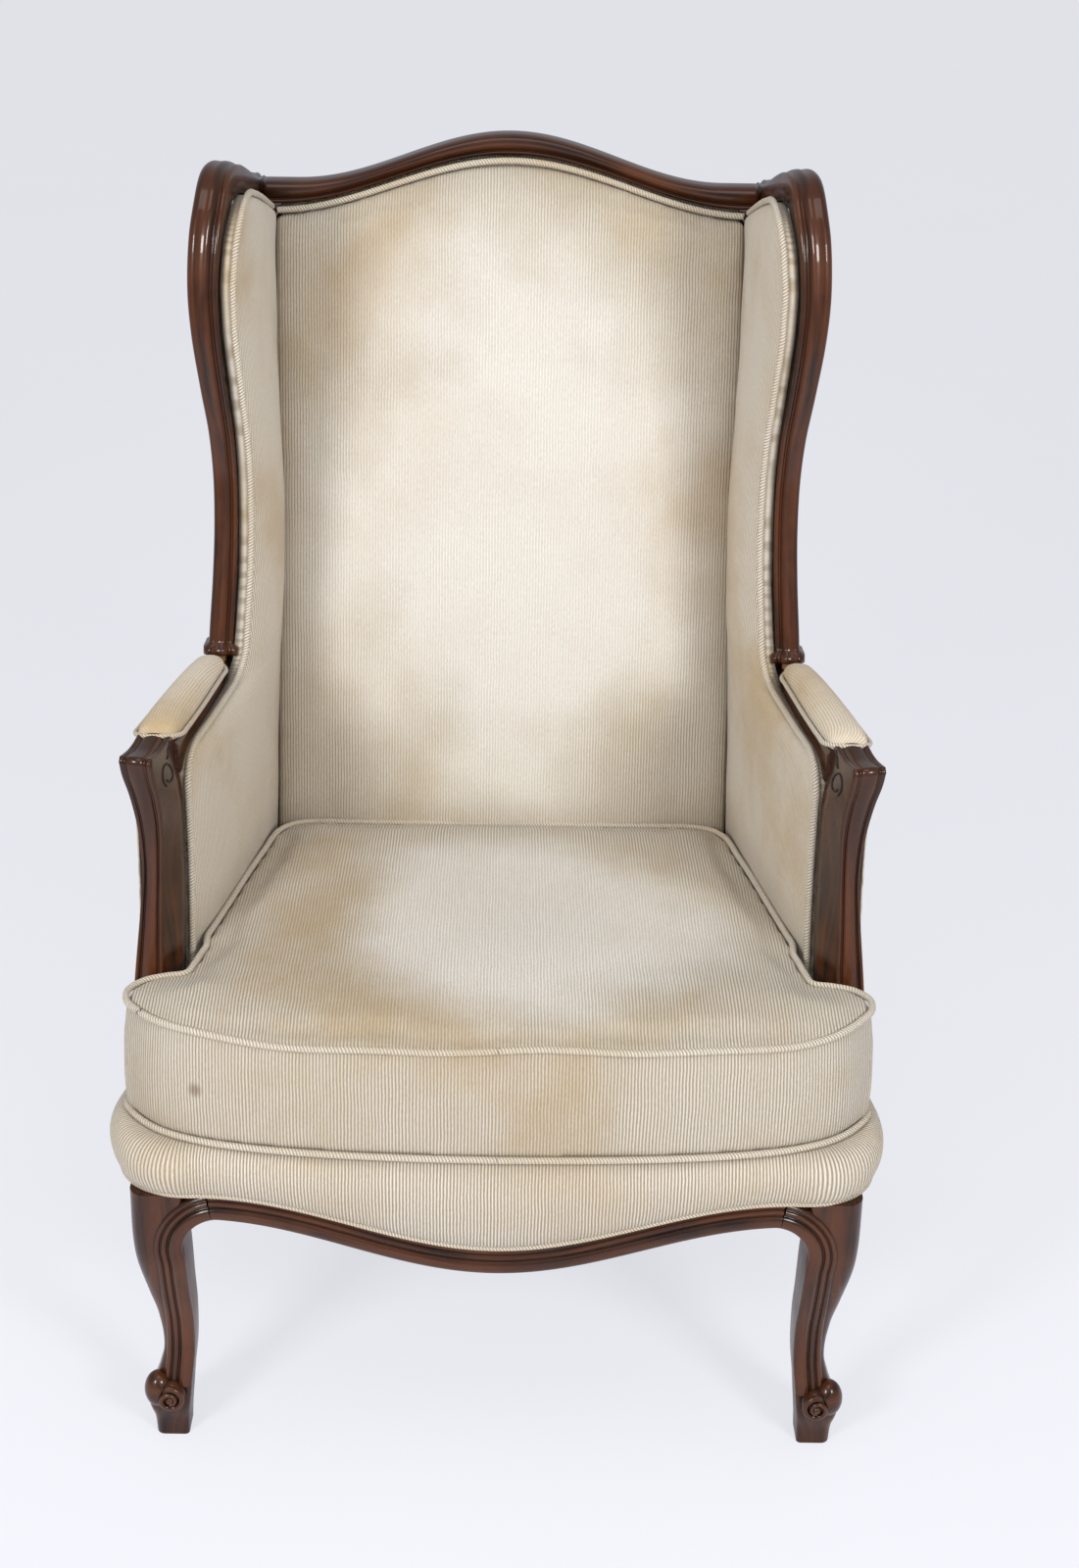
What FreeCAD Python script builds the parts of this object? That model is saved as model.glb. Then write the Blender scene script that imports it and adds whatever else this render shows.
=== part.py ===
import FreeCAD, Part

import math
import os

import Sketcher

# Wing bergere armchair: show-wood frame, sprung seat, upholstered back, wings and arms,
# and one loose boxed cushion. Millimetres, +Z up, front towards -Y, origin on the floor
# at the centre of the footprint. Right is +X, and every left piece mirrors a right one.

Vec = FreeCAD.Vector
document = FreeCAD.newDocument("wing_armchair")
sheet = document.addObject("Spreadsheet::Sheet", "Dims")

# Driving dimensions: name, value, what it is.
DIMENSIONS = [
    ("side_half", 298, "half width over the side frame where y is 0"),
    ("side_taper", 0.1667, "how much the side frame narrows per mm towards the back"),
    ("back_floor", 144.4, "where the raked outer back plane meets the floor"),
    ("back_slope", 0.1875, "run of the raked back per mm of height"),
    ("rail_low", 250, "underside of the side and back seat rails"),
    ("rail_top", 295, "top of all the seat rails"),
    ("rail_thick", 25, "thickness of the side and back seat rails"),
    ("front_dip", 50.5, "how far the front rail dips at its middle"),
    ("front_arch", 253.5, "underside of the front rail at its ends"),
    ("front_inset", 42, "end of the front rail, in from the half width"),
    ("front_face", 328, "front rail moulding, distance in front of the origin"),
    ("front_inner", 292, "inner face of the front rail, in front of the origin"),
    ("lip_height", 24.5, "height of the moulding left bare below the cloth"),
    ("leg_joint", 238, "joint of the side rail and the front leg, in front of the origin"),
    ("leg_back", 272, "back of the front leg block, in front of the origin"),
    ("leg_inset", 16, "inner face of the front leg block, in from the half width"),
    ("post_joint", 158, "joint of the side rail and the back leg, behind the origin"),
    ("stile_inset", 34, "outer face of the back post, in from the half width"),
    ("stile_width", 30, "width of the back post"),
    ("stile_depth", 32, "depth of the back post"),
    ("stile_set", 3, "back post set in from the outer back plane"),
    ("stile_top", 1046, "top of the back post"),
    ("foot_y", 246, "middle of the back foot, behind the origin"),
    ("foot_size", 26, "depth of the back foot"),
    ("crest_inset", 48, "end of the crest rail, in from the half width"),
    ("crest_low", 1050, "lower edge of the crest moulding at its ends"),
    ("crest_lift", 50, "rise of the lower edge at the middle"),
    ("crest_top", 1072.5, "top of the crest at its ends"),
    ("crest_rise", 47.5, "rise of the top at the middle"),
    ("crest_depth", 50, "depth of the crest moulding"),
    ("arm_low", 614, "underside of the arm rail"),
    ("arm_top", 646, "top of the arm rail under its pad"),
    ("arm_joint", 151, "joint of arm rail and arm post, in front of the origin"),
    ("deck_top", 330, "top of the seat deck"),
    ("cushion_low", 333.5, "lower seam of the cushion"),
    ("cushion_high", 440, "upper seam of the cushion"),
    ("cushion_crown", 13, "rise of the cushion above its upper seam"),
    ("cushion_front", 341, "front of the cushion seams, in front of the origin"),
    ("cover", 2, "thickness of the corduroy with its lining"),
    ("ease", 0.4, "clearance between soft layers"),
    ("back_inset", 60, "edge of the inside back, in from the half width"),
    ("side_bottom", 332, "lower edge of the inside side panels"),
    ("welt_radius", 3.2, "radius of the corded welts"),
    ("webbing_width", 50, "width of a webbing strap"),
    ("webbing_thick", 1.5, "thickness of a webbing strap"),
    ("dowel_radius", 4, "radius of the frame dowels"),
    ("dowel_length", 40, "length of the frame dowels"),
    ("wire_radius", 1.8, "radius of the seat spring wire"),
]
for row, (alias, value, note) in enumerate(DIMENSIONS, start=1):
    sheet.set("A%d" % row, alias)
    sheet.set("B%d" % row, str(value))
    sheet.set("C%d" % row, note)
    sheet.setAlias("B%d" % row, alias)
document.recompute()

# Sizes that follow the half width of the frame.
FOLLOWING = {
    "front_reach": "(<side_half> - <front_inset>)",
    "leg_inner": "(<side_half> - <leg_inset>)",
    "stile_outer": "(<side_half> - <stile_inset>)",
    "stile_inner": "(<side_half> - <stile_inset> - <stile_width>)",
    "crest_half": "(<side_half> - <crest_inset>)",
    "back_width": "(<side_half> - <back_inset>)",
}


def dim(name):
    if name in FOLLOWING:
        return evaluate(FOLLOWING[name])
    return float(sheet.get(name))


def expression(text):
    """Turn words of the sheet into an expression on its cells."""
    for name, meaning in FOLLOWING.items():
        text = text.replace("<" + name + ">", meaning)
    for alias, _, _ in sorted(DIMENSIONS, key=lambda entry: -len(entry[0])):
        text = text.replace("<" + alias + ">", "Dims." + alias)
    return text


def evaluate(text):
    return float(sheet.evalExpression(expression(text)))


# Bodies drawn as sketches whose corners are bound to the sheet.

def new_body(name):
    return document.addObject("PartDesign::Body", name)


def sketch_on(body, role, corners, height=None):
    """A closed polygon on one of the body's own planes; each corner is a pair of expressions."""
    sketch = body.newObject("Sketcher::SketchObject", body.Name + "_outline")
    plane = [feature for feature in body.Origin.OriginFeatures if feature.Role == role][0]
    sketch.AttachmentSupport = [(plane, "")]
    sketch.MapMode = "FlatFace"
    if height is not None:
        sketch.setExpression("AttachmentOffset.Base.z", expression(height))
    spots = [Vec(evaluate(across), evaluate(up), 0) for across, up in corners]
    count = len(spots)
    for index in range(count):
        sketch.addGeometry(Part.LineSegment(spots[index], spots[(index + 1) % count]), False)
    for index in range(count):
        sketch.addConstraint(Sketcher.Constraint("Coincident", index, 2, (index + 1) % count, 1))
    for index, (across, up) in enumerate(corners):
        for kind, text, value in (("DistanceX", across, spots[index].x), ("DistanceY", up, spots[index].y)):
            number = sketch.addConstraint(Sketcher.Constraint(kind, -1, 1, index, 1, value))
            sketch.setExpression("Constraints[%d]" % number, expression(text))
    return sketch


def pad(body, sketch, length):
    feature = body.newObject("PartDesign::Pad", body.Name + "_pad")
    feature.Profile = sketch
    feature.setExpression("Length", expression(length))
    document.recompute()
    return feature


def padded(name, role, corners, length, height=None):
    body = new_body(name)
    pad(body, sketch_on(body, role, corners, height), length)
    return body


def mirrored(source, name):
    mirror = document.addObject("Part::Mirroring", name)
    mirror.Source = source
    mirror.Base = Vec(0, 0, 0)
    mirror.Normal = Vec(1, 0, 0)
    return mirror


def feature(name, shape):
    piece = document.addObject("Part::Feature", name)
    piece.Shape = shape
    piece.Placement = FreeCAD.Placement()
    return piece


# Curves of the chair, from the sheet. The stations of the side pieces are drawn for the half
# width DRAWN_HALF, and a wider or narrower frame moves them all out or in by the spread.

DRAWN_HALF = 298
spread = dim("side_half") - DRAWN_HALF


def side_x(y):
    return dim("side_half") - dim("side_taper") * y


def back_y(z):
    return dim("back_floor") + dim("back_slope") * z


def swell(x, reach):
    """One smooth hump: 1 at the middle, 0 from the reach outwards."""
    if abs(x) >= reach:
        return 0.0
    return 0.5 * (1 + math.cos(math.pi * x / reach))


RAIL_WAVE = 262 + spread
CREST_TOP_WAVE = 215 + spread
CREST_LOW_WAVE = 240 + spread
CORNER_X = 290 + spread


def rail_edge(x):
    return dim("front_arch") - dim("front_dip") * swell(x, RAIL_WAVE)


def crest_edge(x):
    return dim("crest_low") + dim("crest_lift") * swell(x, CREST_LOW_WAVE)


def crest_ridge(x):
    return dim("crest_top") + dim("crest_rise") * swell(x, CREST_TOP_WAVE)


def between(table, key):
    """Straight-line reading of a table of (key, value) pairs."""
    if key <= table[0][0]:
        return table[0][1]
    for (low, start), (high, end) in zip(table, table[1:]):
        if key <= high:
            return start + (end - start) * (key - low) / (high - low)
    return table[-1][1]


def steps(start, end, count):
    return [start + (end - start) * index / count for index in range(count + 1)]


# Solids made from wires.

def spline(points):
    curve = Part.BSplineCurve()
    curve.interpolate(points)
    return curve.toShape()


def chain(points):
    return [Part.LineSegment(a, b).toShape() for a, b in zip(points, points[1:])]


def closed(edges):
    return Part.Wire(Part.__sortEdges__(edges))


def prism(wire, direction):
    return Part.Face(wire).extrude(direction)


def loft(wires, ruled=False):
    return Part.makeLoft(wires, True, ruled)


def box(low, high):
    size = high - low
    return Part.makeBox(size.x, size.y, size.z, low)


def rounded(width, height, radius):
    """Rounded rectangle about the origin in its own XY plane."""
    half_w = width / 2
    half_h = height / 2
    edges = []
    turn = math.sqrt(0.5) * radius
    for sx, sy in ((1, 1), (-1, 1), (-1, -1), (1, -1)):
        centre = Vec(sx * (half_w - radius), sy * (half_h - radius), 0)
        on_side = centre + Vec(sx * radius, 0, 0)
        on_end = centre + Vec(0, sy * radius, 0)
        middle = centre + Vec(sx * turn, sy * turn, 0)
        first, last = (on_side, on_end) if sx * sy > 0 else (on_end, on_side)
        edges.append(Part.Arc(first, middle, last).toShape())
    joined = []
    for index, edge in enumerate(edges):
        joined.append(edge)
        following = edges[(index + 1) % len(edges)]
        joined.append(Part.LineSegment(edge.Vertexes[-1].Point, following.Vertexes[0].Point).toShape())
    return Part.Wire(joined)


def placed(wire, origin, forward, across=Vec(1, 0, 0)):
    """Stand a flat wire at origin, square to forward, its X along across."""
    axis_z = Vec(forward).normalize()
    axis_x = (across - axis_z * across.dot(axis_z)).normalize()
    axis_y = axis_z.cross(axis_x)
    copy = wire.copy()
    copy.Placement = FreeCAD.Placement(origin, FreeCAD.Rotation(axis_x, axis_y, axis_z, "ZXY"))
    return copy


def directions(points):
    """Direction of travel at each point of an open path."""
    last = len(points) - 1
    return [(points[min(i + 1, last)] - points[max(i - 1, 0)]).normalize() for i in range(last + 1)]


def tube(points, radius, across, spacing=12):
    """Round cord along a smooth path through the points; across never runs along the path."""
    circle = Part.Wire(Part.makeCircle(radius))
    path = spline(points).discretize(Distance=spacing)
    return loft([placed(circle, p, d, across) for p, d in zip(path, directions(path))], True)


def turned_corner(points, radius):
    """Closed flat outline through the corner points with every corner rounded."""
    edges = []
    count = len(points)
    cuts = []
    for index, corner in enumerate(points):
        before = (points[index - 1] - corner).normalize()
        after = (points[(index + 1) % count] - corner).normalize()
        half = before.getAngle(after) / 2
        reach = radius / math.tan(half)
        centre = corner + (before + after).normalize() * (radius / math.sin(half))
        middle = centre + (corner - centre).normalize() * radius
        cuts.append((corner + before * reach, middle, corner + after * reach))
    for index, (start, middle, end) in enumerate(cuts):
        edges.append(Part.Arc(start, middle, end).toShape())
        edges.append(Part.LineSegment(end, cuts[(index + 1) % count][0]).toShape())
    return Part.Wire(edges)


pieces = {}
blanks = {}


# Back legs, each in one piece with its back post: a raked post over a sabre leg.

LEG_STATIONS = [("0", "<foot_y>", "<foot_size>"), ("<rail_low> * 0.36", "<foot_y> - 27", "27"),
                ("<rail_low> * 0.72", "<foot_y> - 56", "29")]
leg = new_body("back_leg_right_blank")
leg_rings = []
for height, middle, depth in LEG_STATIONS:
    front = "(%s) - (%s) / 2" % (middle, depth)
    rear = "(%s) + (%s) / 2" % (middle, depth)
    ring = [("<stile_inner>", front), ("<stile_outer>", front),
            ("<stile_outer>", rear), ("<stile_inner>", rear)]
    leg_rings.append(sketch_on(leg, "XY_Plane", ring, height))
joint_rear = "<back_floor> + <back_slope> * <rail_low> - <stile_set>"
ring = [("<stile_inner>", "<post_joint>"), ("<stile_outer>", "<post_joint>"),
        ("<stile_outer>", joint_rear), ("<stile_inner>", joint_rear)]
leg_rings.append(sketch_on(leg, "XY_Plane", ring, "<rail_low>"))
sabre = leg.newObject("PartDesign::AdditiveLoft", "back_leg_sabre")
sabre.Profile = leg_rings[0]
sabre.Sections = leg_rings[1:]
document.recompute()
post_front = "<back_floor> + <back_slope> * (%s) - <stile_set> - <stile_depth>"
post_rear = "<back_floor> + <back_slope> * (%s) - <stile_set>"
profile = [("<post_joint>", "<rail_low>"), (post_rear % "<rail_low>", "<rail_low>"),
           (post_rear % "<stile_top>", "<stile_top>"), (post_front % "<stile_top>", "<stile_top>"),
           (post_front % "<rail_top> + 5", "<rail_top> + 5"), ("<post_joint>", "<rail_top> + 5")]
pad(leg, sketch_on(leg, "YZ_Plane", profile, "<stile_inner>"), "<stile_outer> - <stile_inner>")
blanks["back_leg_right"] = leg

# Seat rails at the back and the sides. The side rails show a plain moulded lip below.

blanks["back_seat_rail"] = padded(
    "back_seat_rail_blank", "XY_Plane",
    [("-<stile_inner>", "<post_joint> + 2"), ("<stile_inner>", "<post_joint> + 2"),
     ("<stile_inner>", "<post_joint> + 2 + <rail_thick>"),
     ("-<stile_inner>", "<post_joint> + 2 + <rail_thick>")],
    "<rail_top> - <rail_low>", "<rail_low>")

outer_front = "<side_half> + <side_taper> * <leg_joint>"
outer_rear = "<side_half> - <side_taper> * <post_joint>"
side_rail = new_body("side_seat_rail_right_blank")
pad(side_rail, sketch_on(side_rail, "XY_Plane", [
    (outer_front + " - <rail_thick>", "-<leg_joint>"), (outer_front, "-<leg_joint>"),
    (outer_rear, "<post_joint>"), (outer_rear + " - <rail_thick>", "<post_joint>")], "<rail_low>"),
    "<rail_top> - <rail_low>")
LIP_OUT = "5"
pad(side_rail, sketch_on(side_rail, "XY_Plane", [
    (outer_front + " - 5", "-<leg_joint>"), (outer_front + " + " + LIP_OUT, "-<leg_joint>"),
    (outer_rear + " + " + LIP_OUT, "<post_joint>"), (outer_rear + " - 5", "<post_joint>")], "<rail_low>"),
    "<lip_height>")
blanks["side_seat_rail_right"] = side_rail

# Front seat rail: sawn to the bowed plan and the serpentine edge, with a bare moulded lip.

FRONT_BOW = 5
CLOTH_SET = 8
CLOTH_BOW = 4


def cloth_face(x):
    """Face of the front rail behind the cloth, y."""
    return -dim("front_face") + CLOTH_SET + CLOTH_BOW * (x / CORNER_X) ** 2


def lip_face(x):
    return -dim("front_face") + FRONT_BOW * (x / dim("front_reach")) ** 2


def sawn_plan(face, back, low, high):
    reach = dim("front_reach")
    front = spline([Vec(x, face(x), low) for x in steps(-reach, reach, 8)])
    rear = chain([Vec(-reach, face(-reach), low), Vec(-reach, back, low), Vec(reach, back, low),
                  Vec(reach, face(reach), low)])
    return prism(closed([front] + rear), Vec(0, 0, high - low))


def sawn_front(lower, upper, reach, near, far):
    """Block whose lower and upper edges are two curves of x, between two values of y."""
    bottom = spline([Vec(x, near, lower(x)) for x in steps(-reach, reach, 14)])
    top = spline([Vec(x, near, upper(x)) for x in steps(-reach, reach, 14)])
    ends = [Part.LineSegment(Vec(s * reach, near, lower(reach)), Vec(s * reach, near, upper(reach))).toShape()
            for s in (-1, 1)]
    return prism(closed([bottom, top] + ends), Vec(0, far - near, 0))


rail_floor = dim("front_arch") - dim("front_dip") - 10
rail_roof = dim("rail_top")
front_core = sawn_plan(cloth_face, -dim("front_inner"), rail_floor, rail_roof)
front_core = front_core.common(sawn_front(rail_edge, lambda x: rail_roof, dim("front_reach"), -360, -250))
front_lip = sawn_plan(lip_face, -dim("front_inner") - 12, rail_floor, rail_roof)
front_lip = front_lip.common(sawn_front(rail_edge, lambda x: rail_edge(x) + dim("lip_height"),
                                        dim("front_reach"), -360, -250))
blanks["front_seat_rail"] = feature("front_seat_rail_blank", front_core.fuse(front_lip).removeSplitter())

# Front legs: cabriole on the diagonal, knee out, ankle in, a scroll over a small sole.
# Each station is (height, inner face, outer face) across the chair.

CABRIOLE = [(277.5, 282, 331), (225, 283, 331), (200, 282, 329), (160, 281, 320.6), (130, 280, 314),
            (90, 281, 311), (62, 284, 318), (40, 286, 325), (18, 288, 321), (0, 289, 320)]
KNEE_ROUND = 9
BACK_SHIFT = 10
FRONT_SHIFT = 7
BRACKET_RADIUS = 34
BRACKET_DEPTH = 22
SCROLL_BALL = 15
SCROLL_DISC = 12.5
SCROLL_THICK = 16


def leg_ring(height, inner, outer):
    back = -inner + BACK_SHIFT
    front = -outer + FRONT_SHIFT
    ring = rounded(outer - inner, back - front, KNEE_ROUND)
    ring.translate(Vec((inner + outer) / 2 + spread, (front + back) / 2, height))
    return ring


def front_leg():
    """Stem, square block, curved brackets under both rails, and the scroll of the foot."""
    stem = loft([leg_ring(*station) for station in reversed(CABRIOLE)])
    lip_top = CABRIOLE[0][0]
    block = box(Vec(dim("leg_inner"), -300, lip_top - 1),
                Vec(312 + spread, -dim("leg_back"), dim("rail_top")))
    arch = dim("front_arch")
    reach = dim("front_reach")
    bend = math.sqrt(0.5) * BRACKET_RADIUS
    centre = Vec(reach - 6, -dim("front_inner"), arch - BRACKET_RADIUS)
    start = Vec(reach, -dim("front_inner"), arch - 0.6)
    end = centre + Vec(BRACKET_RADIUS, 0, 0)
    curve = Part.Arc(start, centre + Vec(bend, 0, bend), end).toShape()
    rest = chain([end, Vec(end.x + 12, end.y, end.z), Vec(end.x + 12, end.y, dim("rail_top")),
                  Vec(reach, end.y, dim("rail_top")), start])
    wing = prism(closed([curve] + rest), Vec(0, -BRACKET_DEPTH, 0))
    lip = wing.common(box(Vec(200 + spread, -330, 150), Vec(340 + spread, -280, arch + dim("lip_height"))))
    lip.translate(Vec(0, -9, 0))
    side = closed([curve] + rest)
    side.translate(Vec(dim("leg_joint") - reach, -21, 0))
    side_wing = prism(side, Vec(0, -BRACKET_DEPTH, 0))
    side_wing = side_wing.mirror(Vec(0, 0, 0), Vec(1, 1, 0))
    side_wing.translate(Vec(spread, 0, 0))
    trim = box(Vec(305 + spread, -330, 150), Vec(330.5 + spread, -dim("leg_joint"), dim("rail_top")))
    side_wing = side_wing.common(trim)
    scroll = Part.makeSphere(SCROLL_BALL, Vec(316 + spread, -308, 48))
    disc = Part.makeCylinder(SCROLL_DISC, SCROLL_THICK, Vec(304 + spread, -326, 44), Vec(0, 1, 0))
    disc = disc.makeFillet(2.5, [disc.Edges[0]])
    whole = stem
    for addition in (block, wing, lip, side_wing, scroll, disc):
        whole = whole.fuse(addition)
    return whole


blanks["front_leg_right"] = feature("front_leg_right_blank", front_leg())

# Hidden rails and uprights of the back and the arms.

RAKED = "<back_floor> + <back_slope> * (%s) - (%s)"


def raked_bar(name, low, high, near, far, half="<stile_inner>"):
    """Level bar across the back: near and far are depths in front of the outer back plane."""
    corners = [(RAKED % (low, near), low), (RAKED % (low, far), low), (RAKED % (high, far), high),
               (RAKED % (high, near), high)]
    return padded(name, "YZ_Plane", corners, "2 * (%s)" % half, "-(%s)" % half)


WEB_FACE = "<stile_set> + <stile_depth> + <webbing_thick> + 0.3"
blanks["back_bottom_rail"] = raked_bar("back_bottom_rail_blank", "345", "380", WEB_FACE, "14")


def side_bar(name, start, end, inset, thickness, low, high):
    """Bar along the side frame from start to end, both y expressions."""
    edge = "<side_half> - <side_taper> * (%s) - (%s)"
    corners = [(edge % (start, inset + " + " + thickness), start), (edge % (start, inset), start),
               (edge % (end, inset), end), (edge % (end, inset + " + " + thickness), end)]
    return padded(name, "XY_Plane", corners, "(%s) - (%s)" % (high, low), low)


blanks["side_bottom_rail_right"] = side_bar("side_bottom_rail_right_blank", "-<arm_joint>", "45", "3", "17",
                                            "345", "375")
blanks["arm_upright_right"] = side_bar("arm_upright_right_blank", "45", "77", "1", "19",
                                       "<rail_top>", "<arm_low>")

# Arm rails: level bars under the arm pads, from the back post to the arm post.

PAD_LINE_FRONT = 291.5 + spread
PAD_LINE_SLOPE = 0.119


def arm_inner(y):
    return PAD_LINE_FRONT + 1.7 - PAD_LINE_SLOPE * (y + dim("arm_joint"))


def arm_outer(y):
    return between([(-dim("arm_joint"), 335), (60, 290), (235, 265)], y) + spread


def arm_rail():
    low = dim("arm_low")
    front = -dim("arm_joint")
    rear = back_y(low) - dim("stile_set") - dim("stile_depth")
    slope = dim("back_slope")
    profile = chain([Vec(0, front, low + 2), Vec(0, front, 641), Vec(0, -100, dim("arm_top")),
                     Vec(0, 38, dim("arm_top")), Vec(0, 44, 656), Vec(0, rear + slope * (656 - low), 656),
                     Vec(0, rear, low), Vec(0, front + 40, low), Vec(0, front, low + 2)])
    side = prism(closed(profile), Vec(400 + spread, 0, 0))
    far = rear + 20
    outline = chain([Vec(arm_inner(front), front, low - 5), Vec(arm_inner(far), far, low - 5),
                     Vec(arm_outer(far), far, low - 5)])
    outline.append(spline([Vec(arm_outer(y), y, low - 5) for y in (far, 60, -50, front)]))
    outline += chain([Vec(arm_outer(front), front, low - 5), Vec(arm_inner(front), front, low - 5)])
    return side.common(prism(closed(outline), Vec(0, 0, 60)))


blanks["arm_rail_right"] = feature("arm_rail_right_blank", arm_rail())

# Arm posts: hollow-curved supports that swing forward to the seat rail, under a square knuckle.
# Each station is (height, inner back, inner front, outer front, outer back) in plan.

ARM_POST = [
    (295, (305, -186), (307, -224), (337, -226), (337, -186)),
    (340, (300, -182), (309, -222), (339, -221), (338, -180)),
    (400, (294, -170), (309, -213), (338.5, -210), (337, -168)),
    (440, (291, -162), (308, -206), (335, -203), (333, -160)),
    (500, (289.5, -155), (307.5, -197), (328.5, -194), (327, -152)),
    (540, (289, -151), (306, -193), (325.5, -190), (324, -148)),
    (580, (289, -149), (304, -193), (328, -189), (326, -147)),
    (612, (290, -148), (305.5, -197), (333, -192), (330, -147)),
    (634, (291, -150), (308.5, -203), (338.5, -197), (334, -150)),
    (651, (298, -184), (310.5, -205), (341.5, -199), (338, -178)),
]
POST_ROUND = 3.5


def arm_post():
    rings = [turned_corner([Vec(x + spread, y, height) for x, y in corners], POST_ROUND)
             for height, *corners in ARM_POST]
    post = loft(rings)
    return post.cut(box(Vec(250 + spread, -dim("arm_joint"), 560), Vec(360 + spread, -100, 700)))


blanks["arm_post_right"] = feature("arm_post_right_blank", arm_post())

# Wing posts and wing top rails: one polished moulding in two lengths, jointed at the ear.
# Each station is (centre point, width across the chair, depth square to the path).

EAR = [((260.8, 342, 1060), 20, 27), ((262.2, 300, 1064), 22, 27), ((263.5, 250, 1074), 25, 28),
       ((266, 200, 1087), 28, 29), ((268.5, 160, 1096), 30, 30), ((270.5, 130, 1099), 31, 31),
       ((272.5, 105, 1095), 31, 32), ((274.5, 88, 1082), 31, 33)]
WING = [((274.5, 88, 1082), 31, 33), ((279, 76, 1055), 30.5, 34), ((282.5, 70, 1010), 29, 34),
        ((281.5, 70, 970), 27.5, 34), ((277, 75, 920), 25.5, 34), ((272.5, 82, 875), 24, 33),
        ((270.5, 85, 830), 23.5, 32), ((270.8, 81, 780), 23.5, 32), ((273, 73, 730), 24, 32),
        ((277, 63, 675), 24.5, 32), ((278, 61, 656), 25, 32)]
EAR_JOINT_HEADING = Vec(2.2, -15, -18)
RAIL_ROUND = 8


def moulding(stations, first, last):
    points = [Vec(*station[0]) + Vec(spread, 0, 0) for station in stations]
    heading = directions(points)
    heading[0] = first
    heading[-1] = last
    rings = [placed(rounded(width, depth, RAIL_ROUND), point, way)
             for point, way, (_, width, depth) in zip(points, heading, stations)]
    return loft(rings)


blanks["wing_top_rail_right"] = feature("wing_top_rail_right_blank",
                                        moulding(EAR, Vec(0, -1, 0), EAR_JOINT_HEADING))
blanks["wing_post_right"] = feature("wing_post_right_blank",
                                    moulding(WING, EAR_JOINT_HEADING, Vec(0, 0, -1)))

# Crest rail: the moulded serpentine top with the plain board below it that carries the webbing.

CREST_SET = 2


def crest_middle(z):
    return back_y(z) - CREST_SET - dim("crest_depth") / 2


def crest_rail():
    half = dim("crest_half")
    rings = []
    for x in steps(-half, half, 20):
        low = crest_edge(x)
        high = crest_ridge(x)
        level = (low + high) / 2
        rings.append(placed(rounded(dim("crest_depth"), high - low, 7), Vec(x, crest_middle(level), level),
                            Vec(1, 0, 0), Vec(0, 1, 0)))
    mould = loft(rings)
    foot = dim("stile_top")
    near = dim("stile_set") + dim("stile_depth") + dim("webbing_thick") + 0.3
    top = dim("crest_low") + dim("crest_lift") + 8
    slab = chain([Vec(-half, back_y(foot) - near, foot), Vec(-half, back_y(foot) - 12, foot),
                  Vec(-half, back_y(top) - 12, top), Vec(-half, back_y(top) - near, top),
                  Vec(-half, back_y(foot) - near, foot)])
    board = prism(closed(slab), Vec(2 * half, 0, 0))
    board = board.common(sawn_front(lambda x: foot - 1, lambda x: crest_edge(x) + 6, half, 200, 400))
    return mould.fuse(board).removeSplitter()


blanks["crest_rail"] = feature("crest_rail_blank", crest_rail())

# Corner blocks glued inside the seat rails.

BLOCK_LOW = "<rail_low> + 5"
BLOCK_HIGH = "28"
inner_edge = "<side_half> + <side_taper> * %s - <rail_thick>"
front_block = padded("front_corner_block", "XY_Plane", [
    ("<side_half> - 73", "-<front_inner>"), ("<leg_inner>", "-<front_inner>"), ("<leg_inner>", "-<leg_back>"),
    (inner_edge % "<leg_joint>", "-<leg_back>"), (inner_edge % "<leg_joint>", "-<leg_joint>"),
    (inner_edge % "212", "-212")], BLOCK_HIGH, BLOCK_LOW)
rear_block = padded("rear_corner_block", "XY_Plane", [
    ("<side_half> - 114", "<post_joint> + 2"), ("<stile_inner>", "<post_joint> + 2"),
    ("<stile_inner>", "<post_joint>"),
    ("<side_half> - <side_taper> * <post_joint> - <rail_thick>", "<post_joint>"),
    ("<side_half> - <side_taper> * 104 - <rail_thick>", "104")], BLOCK_HIGH, BLOCK_LOW)
corner_set = document.addObject("Part::Compound", "corner_blocks_blank")
corner_set.Links = [front_block, mirrored(front_block, "front_corner_block_left"), rear_block,
                    mirrored(rear_block, "rear_corner_block_left")]
document.recompute()

for name in list(blanks):
    if name.endswith("_right"):
        left = name.replace("_right", "_left")
        blanks[left] = mirrored(blanks[name], left + "_blank")
blanks["corner_blocks"] = corner_set
document.recompute()

# Dowels in the rail joints, and screws through the corner blocks. Their holes are cut from the
# blanks with cutters a little larger than the pieces themselves.

HOLE_EASE = 0.05


def peg(centre, axis, radius, length):
    way = Vec(axis).normalize()
    return Part.makeCylinder(radius, length, centre - way * (length / 2), way)


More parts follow.
